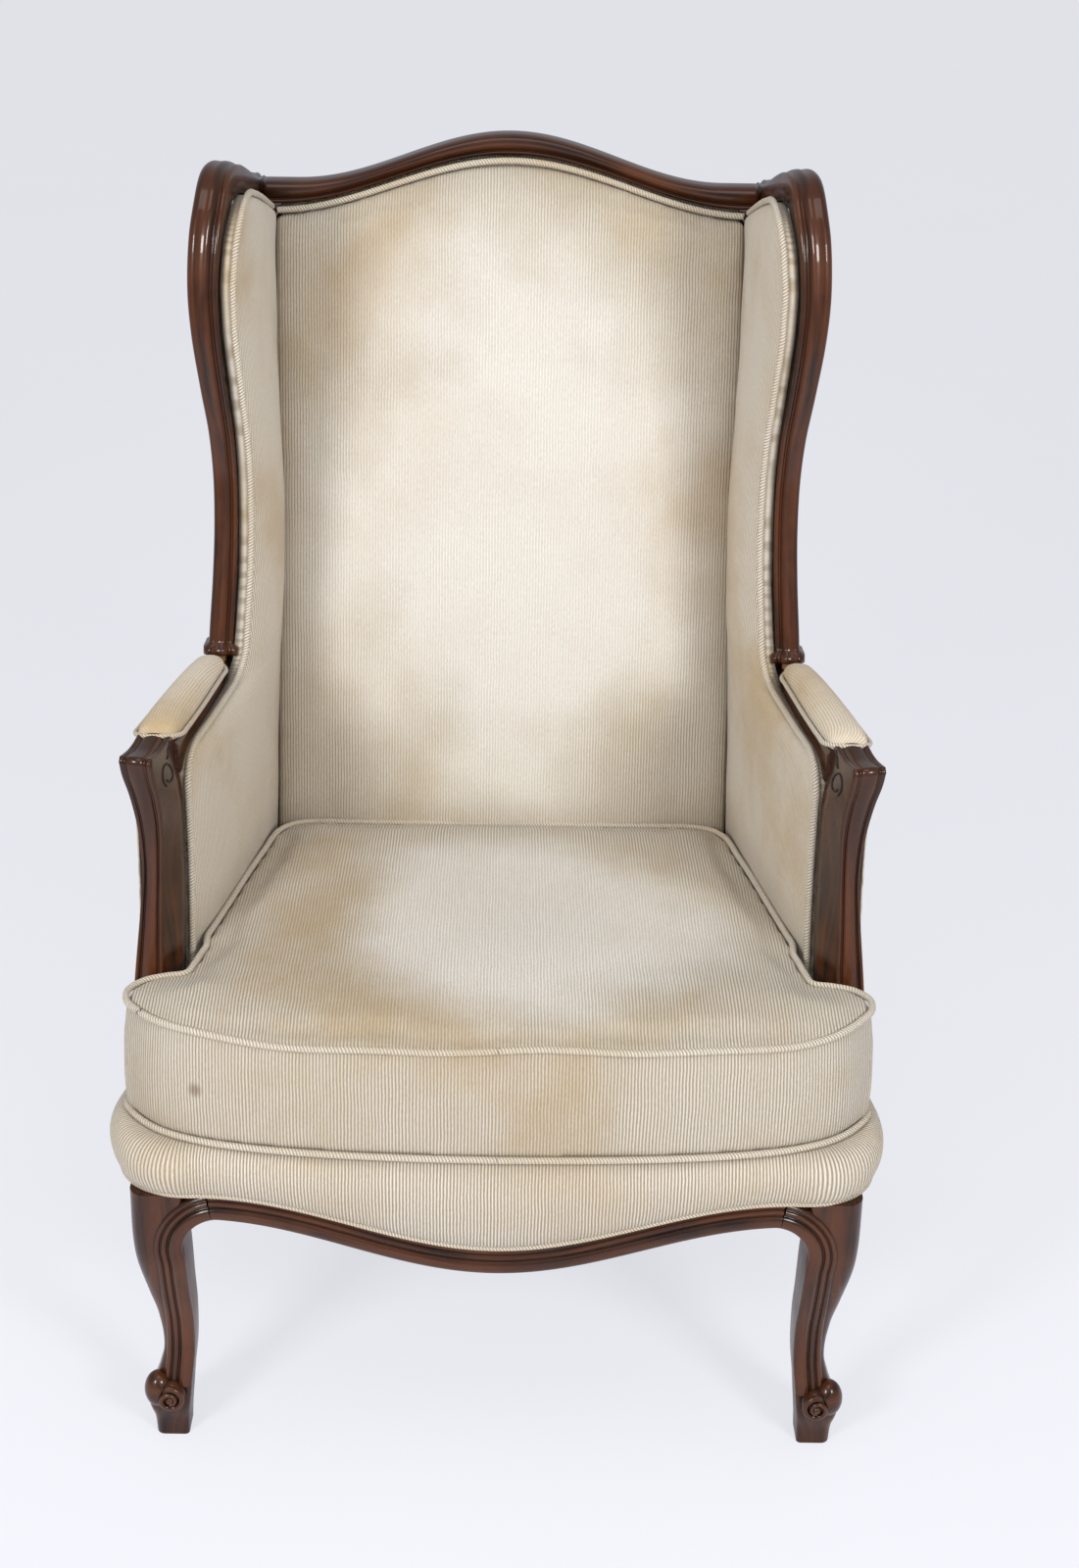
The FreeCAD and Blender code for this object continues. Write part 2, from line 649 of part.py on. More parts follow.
def dowel_spots():
    """Middle and direction of each dowel on the right side."""
    spots = []
    for height in (265, 282):
        spots.append((Vec(dim("front_reach"), -303, height), Vec(1, 0, 0), 28))
        spots.append((Vec(side_x(-dim("leg_joint")) - 15, -dim("leg_joint"), height), Vec(0, 1, 0), 28))
        spots.append((Vec(side_x(dim("post_joint")) - 15, dim("post_joint"), height), Vec(0, 1, 0), 28))
        spots.append((Vec(dim("stile_inner"), dim("post_joint") + 15, height), Vec(1, 0, 0), 36))
    arm_level = dim("arm_low") + 13
    crest_level = dim("crest_low") + 11
    foot_x, foot_y, foot_z = WING[-1][0]
    spots.append((Vec(312 + spread, -dim("arm_joint"), arm_level), Vec(0, 1, 0), dim("dowel_length")))
    spots.append((Vec(dim("crest_half"), crest_middle(crest_level), crest_level), Vec(1, 0, 0), 24))
    spots.append((Vec(foot_x + spread, foot_y, foot_z), Vec(0, 0, 1), 36))
    spots.append((Vec(275 + spread, foot_y, dim("rail_top")), Vec(0, 0, 1), dim("dowel_length")))
    spots.append((Vec(322 + spread, -206, dim("rail_top")), Vec(0, 0, 1), dim("dowel_length")))
    return spots


def both_sides(shapes):
    return shapes + [shape.mirror(Vec(0, 0, 0), Vec(1, 0, 0)) for shape in shapes]


def dowels(extra):
    radius = dim("dowel_radius") + extra
    return both_sides([peg(centre, axis, radius, length + 2 * extra)
                       for centre, axis, length in dowel_spots()])


def screw(head, axis, extra):
    """Countersunk screw: its head's flat top at head, pointing along axis."""
    profile = [(0, 0), (4.2, 0), (2.1, 2.4), (2.1, 28), (0, 31)]
    points = [Vec(r + (extra if r else 0), 0, depth) for r, depth in profile]
    points[0] = Vec(0, 0, -extra)
    points[1] = Vec(4.2 + extra, 0, -extra)
    points[-1] = Vec(0, 0, 31 + extra)
    solid = Part.Face(Part.makePolygon(points + [points[0]])).revolve(Vec(0, 0, 0), Vec(0, 0, 1), 360)
    solid.Placement = FreeCAD.Placement(head, FreeCAD.Rotation(Vec(0, 0, 1), Vec(*axis)))
    return solid


def screws(extra):
    """Two screws in each corner block, square to its sloping inner face."""
    found = []
    for (ax, ay), (bx, by) in (((225, -292), (308.3, -212)), ((184, 160), (255.7, 104))):
        along = Vec(bx - ax, by - ay, 0)
        inward = Vec(along.y, -along.x, 0).normalize() if ay < 0 else Vec(-along.y, along.x, 0).normalize()
        for share in (0.3, 0.7):
            spot = Vec(ax + spread, ay, dim("rail_low") + 20) + along * share
            found.append(screw(spot, inward, extra))
    return both_sides(found)


def tacks(extra):
    """Tacks that hold the dust cover, up into the side and back rails."""
    found = []
    face = dim("rail_low") - 1.5
    for y in steps(-200, 120, 5):
        found.append((side_x(y) - 14, y))
    for x in steps(30, dim("stile_inner") - 24, 3):
        found.append((x, dim("post_joint") + 14))
    solids = []
    for x, y in found:
        head = Part.makeCylinder(4, 0.8, Vec(x, y, face - 0.8))
        shank = Part.makeCylinder(0.9 + extra, 9.5 + extra, Vec(x, y, face - 0.2))
        solids.append(shank if extra else head.fuse(shank))
    return both_sides(solids)


holes = feature("fastener_holes", Part.makeCompound(dowels(HOLE_EASE) + screws(HOLE_EASE) + tacks(HOLE_EASE)))
for name, blank in blanks.items():
    drilled = document.addObject("Part::Cut", name)
    drilled.Base = blank
    drilled.Tool = holes
    pieces[name] = drilled
pieces["frame_dowels"] = feature("frame_dowels", Part.makeCompound(dowels(0)))
pieces["corner_block_screws"] = feature("corner_block_screws", Part.makeCompound(screws(0)))
pieces["dust_cover_tacks"] = feature("dust_cover_tacks", Part.makeCompound(tacks(0)))

# Seat springs: six flat zigzag wires between the front and back rails, each end in a clip.

SPRING_WAVES = 18
SPRING_Z = 289
SPRING_BAR = 13
SPRING_X = [-190, -114, -38, 38, 114, 190]
CLIP_LENGTH = 14


def spring_ends():
    return -dim("front_inner") + 6, dim("post_joint") + 2 - 6


def zigzag(x):
    start, end = spring_ends()
    pitch = (end - start) / SPRING_WAVES
    edges = []
    side = 1
    for index in range(SPRING_WAVES):
        y = start + pitch * index
        edges.append(Part.LineSegment(Vec(x - side * SPRING_BAR, y, SPRING_Z),
                                      Vec(x + side * SPRING_BAR, y, SPRING_Z)).toShape())
        edges.append(Part.Arc(Vec(x + side * SPRING_BAR, y, SPRING_Z),
                              Vec(x + side * (SPRING_BAR + pitch / 2), y + pitch / 2, SPRING_Z),
                              Vec(x + side * SPRING_BAR, y + pitch, SPRING_Z)).toShape())
        side = -side
    edges.append(Part.LineSegment(Vec(x - side * SPRING_BAR, end, SPRING_Z),
                                  Vec(x + side * SPRING_BAR, end, SPRING_Z)).toShape())
    path = Part.Wire(edges)
    ring = Part.Wire(Part.makeCircle(dim("wire_radius"), Vec(x - SPRING_BAR, start, SPRING_Z), Vec(1, 0, 0)))
    return path.makePipeShell([ring], True, False)


def clip(x, wall, bar):
    low_y, high_y = sorted((wall, bar + math.copysign(4, bar - wall)))
    half = CLIP_LENGTH / 2
    block = box(Vec(x - half, low_y, SPRING_Z - 4.5), Vec(x + half, high_y, SPRING_Z + 4.5))
    return block.cut(peg(Vec(x, bar, SPRING_Z), Vec(1, 0, 0), dim("wire_radius") + 0.3, 2 * CLIP_LENGTH))


front_bar, rear_bar = spring_ends()
spring_clip_set = []
for spring_x in SPRING_X:
    spring_clip_set.append(clip(spring_x, -dim("front_inner"), front_bar))
    spring_clip_set.append(clip(spring_x, dim("post_joint") + 2, rear_bar))
pieces["seat_springs"] = feature("seat_springs", Part.makeCompound([zigzag(x) for x in SPRING_X]))
pieces["spring_clips"] = feature("spring_clips", Part.makeCompound(spring_clip_set))

# Seat deck: burlap over the springs, a pad and its cover, and the dust cover below.

DECK_HALF = [("<side_half> - 61", "<post_joint> - 1"), ("<side_half> + 3", "-229"),
             ("<side_half> - 2", "-262"), ("<side_half> - 36", "-283")]
DECK = DECK_HALF + [("-(" + across + ")", y) for across, y in reversed(DECK_HALF)]


def deck_layer(name, low, high):
    return padded(name, "XY_Plane", DECK, "(%s) - (%s)" % (high, low), low)


pieces["seat_burlap"] = deck_layer("seat_burlap", "<rail_top>", "<rail_top> + 1.5")
pieces["deck_pad"] = deck_layer("deck_pad", "<rail_top> + 1.8", "<deck_top> - <cover> - 0.3")
pieces["deck_cover"] = deck_layer("deck_cover", "<deck_top> - <cover>", "<deck_top>")
dust_edge = "<side_half> - <side_taper> * (%s) - 6"
dust_half = [("<side_half> - 70", "<post_joint> + 2 + 20"), ("<side_half> - 70", "<post_joint>"),
             (dust_edge % "<post_joint>", "<post_joint>"), (dust_edge % "-220", "-220"),
             ("<side_half> - 22", "-228"), ("<side_half> - 22", "-268"),
             ("<side_half> - 58", "-<front_inner> + 1")]
dust_other = [("-(" + across + ")", y) for across, y in reversed(dust_half)]
pieces["dust_cover"] = padded("dust_cover", "XY_Plane", dust_half + dust_other, "1.5", "<rail_low> - 1.5")
document.recompute()
pieces["dust_cover"] = document.addObject("Part::Cut", "dust_cover_holed")
pieces["dust_cover"].Base = document.getObject("dust_cover")
pieces["dust_cover"].Tool = holes

# Seat border: a stuffed roll round the front and the sides of the seat frame.

BORDER = [(222, 1.5), (250, 13), (275, 20), (300, 24), (318, 19.5), (330, 11)]
BORDER_END = -190


def border_outline(out, height, end=BORDER_END):
    """Plan of the seat frame, moved out, closed straight across the back."""
    face = cloth_face(0)
    start = Vec(side_x(end) + out, end, height)
    turn = Vec(338 + spread + out, -240, height)
    corner = Vec(330 + spread + 0.75 * out, -290 - 0.6 * out, height)
    front = Vec(CORNER_X + 0.2 * out, face + CLOTH_BOW - out, height)
    quarter = Vec(150, face + 1.1 - out, height)
    nose = Vec(0, face - out, height)

    def flip(point):
        return Vec(-point.x, point.y, point.z)

    return Part.Wire([
        Part.LineSegment(start, turn).toShape(), Part.Arc(turn, corner, front).toShape(),
        Part.Arc(front, quarter, nose).toShape(), Part.Arc(nose, flip(quarter), flip(front)).toShape(),
        Part.Arc(flip(front), flip(corner), flip(turn)).toShape(),
        Part.LineSegment(flip(turn), flip(start)).toShape(), Part.LineSegment(flip(start), start).toShape()])


def border_hollow(gap):
    """Everything inside the roll: the seat frame, the deck and the feet of the arm posts."""
    frame = prism(border_outline(0.3, 200, 0), Vec(0, 0, dim("rail_top") + gap - 200))
    floor = dim("rail_top") - 5
    deck = [Vec(x + spread, y, floor) for x, y in ((303, 0), (302, -229), (297, -263), (262.5, -284))]
    deck += [Vec(-point.x, point.y, floor) for point in reversed(deck)]
    well = prism(Part.makePolygon(deck + [deck[0]]), Vec(0, 0, 60))
    post_half = 343 + spread
    post_room = box(Vec(-post_half, -229, dim("rail_top")), Vec(post_half, 0, 400))
    below = sawn_front(lambda x: 150, lambda x: rail_edge(x) + dim("lip_height") + 7.5, 380 + spread,
                       -400, 0)
    return [frame, well, post_room, below]


def border_form(inward, top, gap):
    rings = [border_outline(out - inward, min(height, top)) for height, out in BORDER]
    form = loft(rings, True)
    for part in border_hollow(gap):
        form = form.cut(part)
    return form


def border_skin():
    outer = border_form(0, 400, 0.3)
    inner = loft([border_outline(out - dim("cover"), height if height < 330 else 330 - dim("cover"))
                  for height, out in BORDER], True)
    return outer.cut(inner)


pieces["seat_border_roll"] = feature("seat_border_roll",
                                     border_form(dim("cover") + dim("ease"), 330 - dim("cover") - 0.3, 0.3))
pieces["seat_border_cover"] = feature("seat_border_cover", border_skin())


def border_welt():
    out = dim("welt_radius") + 0.6
    path = [(side_x(-192) + out, -192), (side_x(-215) + out, -215), (338 + spread + out, -240),
            (336.5 + spread + out, -264), (330 + spread + 0.75 * out, -290 - 0.6 * out),
            (314 + spread, -308 - 0.9 * out), (CORNER_X + 2, cloth_face(0) + 3.5 - out)]
    path += [(x, cloth_face(x) - out) for x in steps(CORNER_X - 28, 0, 7)]
    path += [(-x, y) for x, y in reversed(path[:-1])]
    lift = dim("lip_height") + dim("welt_radius") + 0.5
    return tube([Vec(x, y, rail_edge(x) + lift) for x, y in path], dim("welt_radius"), Vec(0, 0, 1))


pieces["seat_border_welt"] = feature("seat_border_welt", border_welt())

# Inside back: a crowned pad between the sides, its cover, and the welt under the crest.

BACK_FRONT = [(dim("side_bottom"), 111), (430, 132), (600, 168.6), (800, 211.7), (950, 244), (1040, 263.4),
              (1075, 273), (1096, 286)]
BACK_CROWN = 9
CREST_GAP = 8


def back_front(z):
    return between(BACK_FRONT, z)


def back_ring(z, near, far):
    """One level of the back: near is inward from the front face, far a depth or None for the rear plane."""
    half = dim("back_width")
    face = back_front(z) + near
    rear = back_y(z) - dim("stile_set") - dim("stile_depth") - 2 * dim("webbing_thick") - 0.6
    front = Part.Arc(Vec(-half, face + BACK_CROWN, z), Vec(0, face, z), Vec(half, face + BACK_CROWN, z))
    if far is None:
        back = Part.LineSegment(Vec(half, rear, z), Vec(-half, rear, z))
        side = rear
    else:
        face = back_front(z) + far
        side = face + BACK_CROWN
        back = Part.Arc(Vec(half, side, z), Vec(0, face, z), Vec(-half, side, z))
    start = back_front(z) + near + BACK_CROWN
    return Part.Wire([front.toShape(), Part.LineSegment(Vec(half, start, z), Vec(half, side, z)).toShape(),
                      back.toShape(), Part.LineSegment(Vec(-half, side, z), Vec(-half, start, z)).toShape()])


def back_form(near, far):
    form = loft([back_ring(z, near, far) for z, _ in BACK_FRONT], True)
    region = sawn_front(lambda x: 300, lambda x: crest_edge(x) - CREST_GAP, dim("back_width") + 20, 50, 400)
    return form.common(region)


pieces["back_cover_inside"] = feature("back_cover_inside", back_form(0, dim("cover")))
pieces["back_padding"] = feature("back_padding", back_form(dim("cover") + dim("ease"), None))


def crest_welt():
    half = dim("back_width") - 3.5
    points = []
    for x in steps(-half, half, 18):
        z = crest_edge(x) - dim("welt_radius") - 0.8
        points.append(Vec(x, back_y(z) - CREST_SET - dim("crest_depth") - 6, z))
    return tube(points, dim("welt_radius"), Vec(0, 1, 0))


# Back webbing: level straps on the back posts, upright straps in front of them.

STRAP_LEVELS = steps(420, 980, 4)
STRAP_X = steps(-165, 165, 3)
strap_number = 0
strap_parts = []


def raked_strap(low, high, near, left, right):
    """Strap in the raked back, near its depth in front of the outer back plane."""
    thick = dim("webbing_thick")
    outline = chain([Vec(left, back_y(low) - near, low), Vec(left, back_y(low) - near - thick, low),
                     Vec(left, back_y(high) - near - thick, high), Vec(left, back_y(high) - near, high),
                     Vec(left, back_y(low) - near, low)])
    return prism(closed(outline), Vec(right - left, 0, 0))


post_face = dim("stile_set") + dim("stile_depth")
half_strap = dim("webbing_width") / 2
for level in STRAP_LEVELS:
    strap_parts.append(raked_strap(level - half_strap, level + half_strap, post_face,
                                   -dim("stile_outer") + 14, dim("stile_outer") - 14))
for middle in STRAP_X:
    strap_parts.append(raked_strap(350, dim("stile_top") + 6, post_face + dim("webbing_thick") + 0.3,
                                   middle - half_strap, middle + half_strap))
pieces["back_webbing"] = feature("back_webbing", Part.makeCompound(strap_parts))

# Inside side panels, one length of cloth from the ear down the arm to the seat on each side.

FRONT_LIMIT = -190
REAR_X = 246 + spread
INNER_LEAN = 0.175
SIDE_BULGE = 1.5
WING_PAD = 12
WING_GAP = 1.3
# The panel turns from the line of the arm to that of the wing just below the wing's foot.
WING_ZONE = WING[-1][0][2]
ARM_ZONE = WING_ZONE - 22
SIDE_LEVELS = [dim("side_bottom"), 440, 560, ARM_ZONE, WING_ZONE, 690, 730, 780, 830, 900, 970, 1030, 1092]


def crease(z):
    return back_front(z) + BACK_CROWN


def wing_face(z):
    """Inner face x, outer face x and front y of the wing post at a height."""
    faces = sorted((centre[2], centre[0] + spread, width / 2, centre[1] - depth / 2)
                   for centre, width, depth in WING)
    middle, half, front = [between([(row[0], row[part]) for row in faces], z) for part in (1, 2, 3)]
    return middle - half, middle + half, front


def side_rear(z):
    return back_y(z) - dim("stile_set") - dim("stile_depth") - dim("webbing_thick") - 0.5


def inner_front(z):
    """Inner face of the side panel at the front limit, x."""
    low = 286 + spread + INNER_LEAN * (-149 - FRONT_LIMIT)
    if z <= ARM_ZONE:
        return low
    level = max(z, WING_ZONE)
    start = dim("back_width") + 0.5
    inner, _, front = wing_face(level)
    edge = inner - WING_PAD
    high = start + (edge - start) * (crease(level) - FRONT_LIMIT) / (crease(level) - front)
    share = min(1, (z - ARM_ZONE) / (WING_ZONE - ARM_ZONE))
    return low + (high - low) * share


def outer_front(z):
    low = PAD_LINE_FRONT + PAD_LINE_SLOPE * (-dim("arm_joint") - FRONT_LIMIT)
    if z <= ARM_ZONE:
        return low
    level = max(z, WING_ZONE)
    inner, _, front = wing_face(level)
    edge = inner - WING_GAP
    high = REAR_X + (edge - REAR_X) * (side_rear(level) - FRONT_LIMIT) / (side_rear(level) - front)
    share = min(1, (z - ARM_ZONE) / (WING_ZONE - ARM_ZONE))
    return low + (high - low) * share


def side_ring(z, near, far):
    """One level of the side: near is outward from the inner face, far too, or None for the outer face."""
    wall = dim("back_width") + 0.5
    bend = Vec(wall + near, crease(z), z)
    front = Vec(inner_front(z) + near, FRONT_LIMIT, z)
    rear = Vec(wall + near, side_rear(z), z)
    if far is None:
        outer_bend = Vec(REAR_X, side_rear(z), z)
        outer_tip = Vec(outer_front(z), FRONT_LIMIT, z)
    else:
        outer_bend = Vec(wall + far, side_rear(z), z)
        outer_tip = Vec(inner_front(z) + far, FRONT_LIMIT, z)
    middle = (bend + front) * 0.5 - Vec(SIDE_BULGE, 0, 0)
    edges = [Part.LineSegment(rear, bend).toShape(), Part.Arc(bend, middle, front).toShape(),
             Part.LineSegment(front, outer_tip).toShape()]
    if far is None:
        edges.append(Part.LineSegment(outer_tip, outer_bend).toShape())
    else:
        elbow = Vec(wall + far, crease(z), z)
        other = (elbow + outer_tip) * 0.5 - Vec(SIDE_BULGE, 0, 0)
        edges.append(Part.Arc(outer_tip, other, elbow).toShape())
        edges.append(Part.LineSegment(elbow, outer_bend).toShape())
    edges.append(Part.LineSegment(outer_bend, rear).toShape())
    return Part.Wire(edges)


# Edge of the inside panel seen from the side: up the arm post, back along the arm, up the wing,
# over the ear and back under the top rail. Points are (y, z).

PANEL_EDGE = [(-174, dim("side_bottom")), (-171, 350), (-161, 400), (-153, 440), (-146, 500), (-143, 540),
              (-142, 600), (-138, 620), (-120, 628), (-60, 631), (0, 633), (28, 636), (47, 650), (57, 674),
              (63, 705), (72, 745),
              (79, 800), (80, 850), (74, 905), (68, 960), (68, 1010), (75, 1050), (92, 1074), (125, 1084),
              (165, 1078), (215, 1066), (258, 1053), (284, 1045)]


def panel_region(edge):
    near = 200 + spread
    points = [Vec(near, y, z) for y, z in edge]
    curve = spline(points)
    rest = chain([points[-1], Vec(near, 345, points[-1].z), Vec(near, 150, points[0].z), points[0]])
    return prism(closed([curve] + rest), Vec(160, 0, 0))


def side_form(near, far):
    form = loft([side_ring(z, near, far) for z in SIDE_LEVELS], True)
    return form.common(panel_region(PANEL_EDGE))


def side_welt():
    edge = [Vec(0, y, z) for y, z in PANEL_EDGE]
    heading = directions(edge)
    reach = dim("welt_radius") + 1.0
    points = []
    for spot, way in zip(edge, heading):
        outward = Vec(0, -way.z, way.y)
        place = spot + outward * reach
        face = inner_line(place.y, min(max(place.z, dim("side_bottom")), SIDE_LEVELS[-1]))
        points.append(Vec(face + dim("welt_radius") - 0.6, place.y, place.z))
    return tube(points, dim("welt_radius"), Vec(1, 0, 0))


def inner_line(y, z):
    """Inner face of the side panel at a height, straight from the crease to the front limit."""
    start = dim("back_width") + 0.5
    share = (crease(z) - y) / (crease(z) - FRONT_LIMIT)
    return start + (inner_front(z) - start) * max(share, 0)


pieces["side_cover_inside_right"] = feature("side_cover_inside_right", side_form(0, dim("cover")))
pieces["side_padding_right"] = feature("side_padding_right", side_form(dim("cover") + dim("ease"), None))
pieces["side_welt_right"] = feature("side_welt_right", side_welt())
pieces["back_welt"] = feature("back_welt", crest_welt())

# Outside side panels: thin cloth from the back post to the arm post and the wing post.

OUTSIDE_EDGE = [(-179, 281), (-177, 320), (-165, 400), (-153, 480), (-147, 540), (-146, 608)]
OUTSIDE_WING = [(97, 668), (104, 740), (112, 800), (114, 850), (108, 900), (100, 960), (100, 1010),
                (108, 1045), (130, 1062)]


def outside_ring(z, out):
    rear = Vec(dim("stile_outer") + 0.4 + out, back_y(z) - 1, z)
    low = Vec(side_x(FRONT_LIMIT) + 9 + out, FRONT_LIMIT, z)
    if z <= 600:
        front = low
    else:
        edge = wing_face(z)[1] - 1.5 + out
        share = min(1, (z - 600) / (WING_ZONE - 600))
        wing_x = rear.x + (edge - rear.x) * (rear.y - FRONT_LIMIT) / (rear.y - 105)
        front = low + (Vec(wing_x, FRONT_LIMIT, z) - low) * share
    middle = (rear + front) * 0.5 + Vec(5 if z <= 600 else 1, 0, 0)
    return [rear, middle, front]


def outside_form():
    rings = []
    for z in [281, 400, 520, 600, 690, 760, 830, 900, 970, 1020, 1070]:
        rear, middle, front = outside_ring(z, 0)
        rear_out, middle_out, front_out = outside_ring(z, dim("cover"))
        rings.append(Part.Wire([
            Part.Arc(rear, middle, front).toShape(), Part.LineSegment(front, front_out).toShape(),
            Part.Arc(front_out, middle_out, rear_out).toShape(), Part.LineSegment(rear_out, rear).toShape()]))
    form = loft(rings, True)
    low = [Vec(200, y, z) for y, z in OUTSIDE_EDGE]
    high = [Vec(200, y, z) for y, z in OUTSIDE_WING]
    rest = chain([low[-1], Vec(200, 92, 608), high[0]])
    rest += chain([high[-1], Vec(200, 300, 1045), Vec(200, 342, 1045), Vec(200, 191, 281), low[0]])
    region = prism(closed([spline(low)] + [spline(high)] + rest), Vec(220, 0, 0))
    return form.common(region)


pieces["side_cover_outside_right"] = feature("side_cover_outside_right", outside_form())

# Outside back: one flat raked sheet behind the posts.


def outside_back():
    near = dim("stile_set") - 0.3
    low = dim("rail_low") + 2
    high = dim("crest_low") + dim("crest_lift")
    half = dim("stile_outer")
    outline = chain([Vec(-half, back_y(low) - near, low), Vec(-half, back_y(low) - near + dim("cover"), low),
                     Vec(-half, back_y(high) - near + dim("cover"), high),
                     Vec(-half, back_y(high) - near, high),
                     Vec(-half, back_y(low) - near, low)])
    sheet_solid = prism(closed(outline), Vec(2 * half, 0, 0))
    inner = sawn_front(lambda x: low - 5, lambda x: crest_edge(x) - 1.5, dim("crest_half") - 1, 100, 400)
    wide = box(Vec(-half, 100, low - 5), Vec(half, 400, dim("stile_top") - 2))
    return sheet_solid.common(inner.fuse(wide))


pieces["back_cover_outside"] = feature("back_cover_outside", outside_back())

# Arm pads: a low stuffed roll on each arm rail with its cover and welt.
# Each station is (y, half width, height).

ARM_PAD = [(-147, 14, 5), (-141, 18, 11), (-120, 19, 16), (-70, 18.5, 19), (-20, 16.5, 20), (15, 13.5, 18),
           (38, 10.5, 12)]


def arm_middle(y):
    return (arm_inner(y) + arm_outer(y)) / 2 + between([(-150, 0), (40, 2.5)], y)


def arm_ring(y, half, height, inward):
    base = dim("arm_top") + 0.3
    x = arm_middle(y)
    left = Vec(x - half + inward, y, base)
    right = Vec(x + half - inward, y, base)
    return Part.Wire([Part.Arc(left, Vec(x, y, base + height - inward), right).toShape(),
                      Part.LineSegment(right, left).toShape()])


def arm_pad(inward):
    return loft([arm_ring(y, half, height, inward) for y, half, height in ARM_PAD])


arm_stuffing = arm_pad(dim("cover"))
pieces["arm_pad_stuffing_right"] = feature("arm_pad_stuffing_right", arm_pad(dim("cover") + 0.3))
pieces["arm_pad_cover_right"] = feature("arm_pad_cover_right", arm_pad(0).cut(arm_stuffing))


def arm_pad_welt():
    radius = 2.4
    base = dim("arm_top") + 0.3 + radius
    reach = radius + 0.7
    inner = [Vec(arm_middle(y) - half - reach, y, base) for y, half, _ in reversed(ARM_PAD[2:])]
    outer = [Vec(arm_middle(y) + half + reach, y, base) for y, half, _ in ARM_PAD[2:]]
    middle = arm_middle(ARM_PAD[0][0])
    front = [Vec(middle + across, along, base)
             for across, along in ((-20.6, -143), (-13, -150), (0, -151.3), (13, -150), (20.6, -143))]
    return tube(inner + front + outer, radius, Vec(0, 0, 1))


pieces["arm_pad_welt_right"] = feature("arm_pad_welt_right", arm_pad_welt())

# Loose seat cushion: T-shaped, boxed and crowned, its ears in front of the arm posts.

CUSHION_LEAN = 0.159
CUSHION_HALF = 250.5 + spread


def cushion_outline(height, inward, shrink=0.0):
    """Plan of the cushion at a height, moved in, and drawn towards its middle by the shrink."""
    front = dim("cushion_front") - inward
    ear_back = -231.5 + CUSHION_LEAN * (height - 333) - inward
    back = back_front(min(max(height, dim("side_bottom")), dim("cushion_high"))) - 8.4 - inward
    nose = Vec(0, -front, height)
    shoulder = Vec(262 + spread, -front + 24, height)
    corner = Vec(324 + spread - 0.7 * inward, -286 + 0.7 * inward, height)
    ear = Vec(342 + spread - inward, ear_back - 14, height)
    ear_turn = Vec(338 + spread - inward, ear_back - 4, height)
    ear_in = Vec(328 + spread - inward, ear_back, height)
    notch = Vec(300 + spread - inward, ear_back, height)
    side_front = Vec(CUSHION_HALF - INNER_LEAN * (ear_back + 9) - inward, ear_back + 9, height)
    side_back = Vec(inner_line(back - 52, max(height, dim("side_bottom"))) - 12.5 - inward, back - 52, height)
    bend = Vec(side_back.x - 9, back - 17, height)
    back_side = Vec(205 + spread, back - 1, height)
    middle = Vec(0, back, height)
    centre = Vec(0, ear_back, height)

    def flip(point):
        return Vec(-point.x, point.y, point.z)

    right = [nose, shoulder, corner, ear, ear_turn, ear_in, notch, side_front, side_back, bend, back_side,
             middle]
    right = [point + (centre - point) * shrink for point in right]
    nose, shoulder, corner, ear, ear_turn, ear_in = right[:6]
    notch, side_front, side_back, bend, back_side, middle = right[6:]
    front_arc = Part.Arc(flip(shoulder), nose, shoulder).toShape()
    half = [Part.Arc(shoulder, corner, ear), Part.Arc(ear, ear_turn, ear_in), Part.LineSegment(ear_in, notch),
            Part.LineSegment(notch, side_front), Part.LineSegment(side_front, side_back),
            Part.Arc(side_back, bend, back_side)]
    back_arc = Part.Arc(back_side, middle, flip(back_side)).toShape()
    other = [Part.Arc(flip(back_side), flip(bend), flip(side_back)),
             Part.LineSegment(flip(side_back), flip(side_front)),
             Part.LineSegment(flip(side_front), flip(notch)),
             Part.LineSegment(flip(notch), flip(ear_in)), Part.Arc(flip(ear_in), flip(ear_turn), flip(ear)),
             Part.Arc(flip(ear), flip(corner), flip(shoulder))]
    return Part.Wire([back_arc] + [edge.toShape() for edge in other] + [front_arc]
                     + [edge.toShape() for edge in half])


def cushion_form(inward):
    """Crowned form: bulged boxing between the seams and a domed top over a flatter underside."""
    low = dim("cushion_low")
    high = dim("cushion_high")
    crown = dim("cushion_crown")
    middle = (low + high) / 2
    levels = [(low - 3 + inward, 0, 0.02), (low, 0, 0), (middle, -3, 0), (high, 0, 0),
              (high + 0.52 * crown, 0, 0.045), (high + 0.86 * crown, 0, 0.16), (high + crown, 0, 0.4)]
    rings = []
    for height, extra, shrink in levels:
        drop = inward if height > high + 1 else 0
        rings.append(cushion_outline(height - drop, inward + extra, shrink))
    return loft(rings, True)


cushion_outer = cushion_form(0)
cushion_inner = cushion_form(dim("cover"))
cushion_heart = cushion_form(dim("cover") + dim("ease"))
skin = cushion_outer.cut(cushion_inner).cut(cushion_heart)
seam_low = dim("cushion_low")
seam_high = dim("cushion_high")


def cushion_slab(low, high):
    """Everything of the cushion's plan between two heights."""
    plan = skin.BoundBox
    return box(Vec(plan.XMin - 1, plan.YMin - 1, low), Vec(plan.XMax + 1, plan.YMax + 1, high))


pieces["cushion_top_panel"] = feature("cushion_top_panel",
                                      skin.common(cushion_slab(seam_high, seam_high + 60)))
pieces["cushion_boxing"] = feature("cushion_boxing", skin.common(cushion_slab(seam_low, seam_high)))
pieces["cushion_bottom_panel"] = feature("cushion_bottom_panel",
                                         skin.common(cushion_slab(seam_low - 20, seam_low)))
pieces["cushion_core"] = feature("cushion_core", cushion_heart)


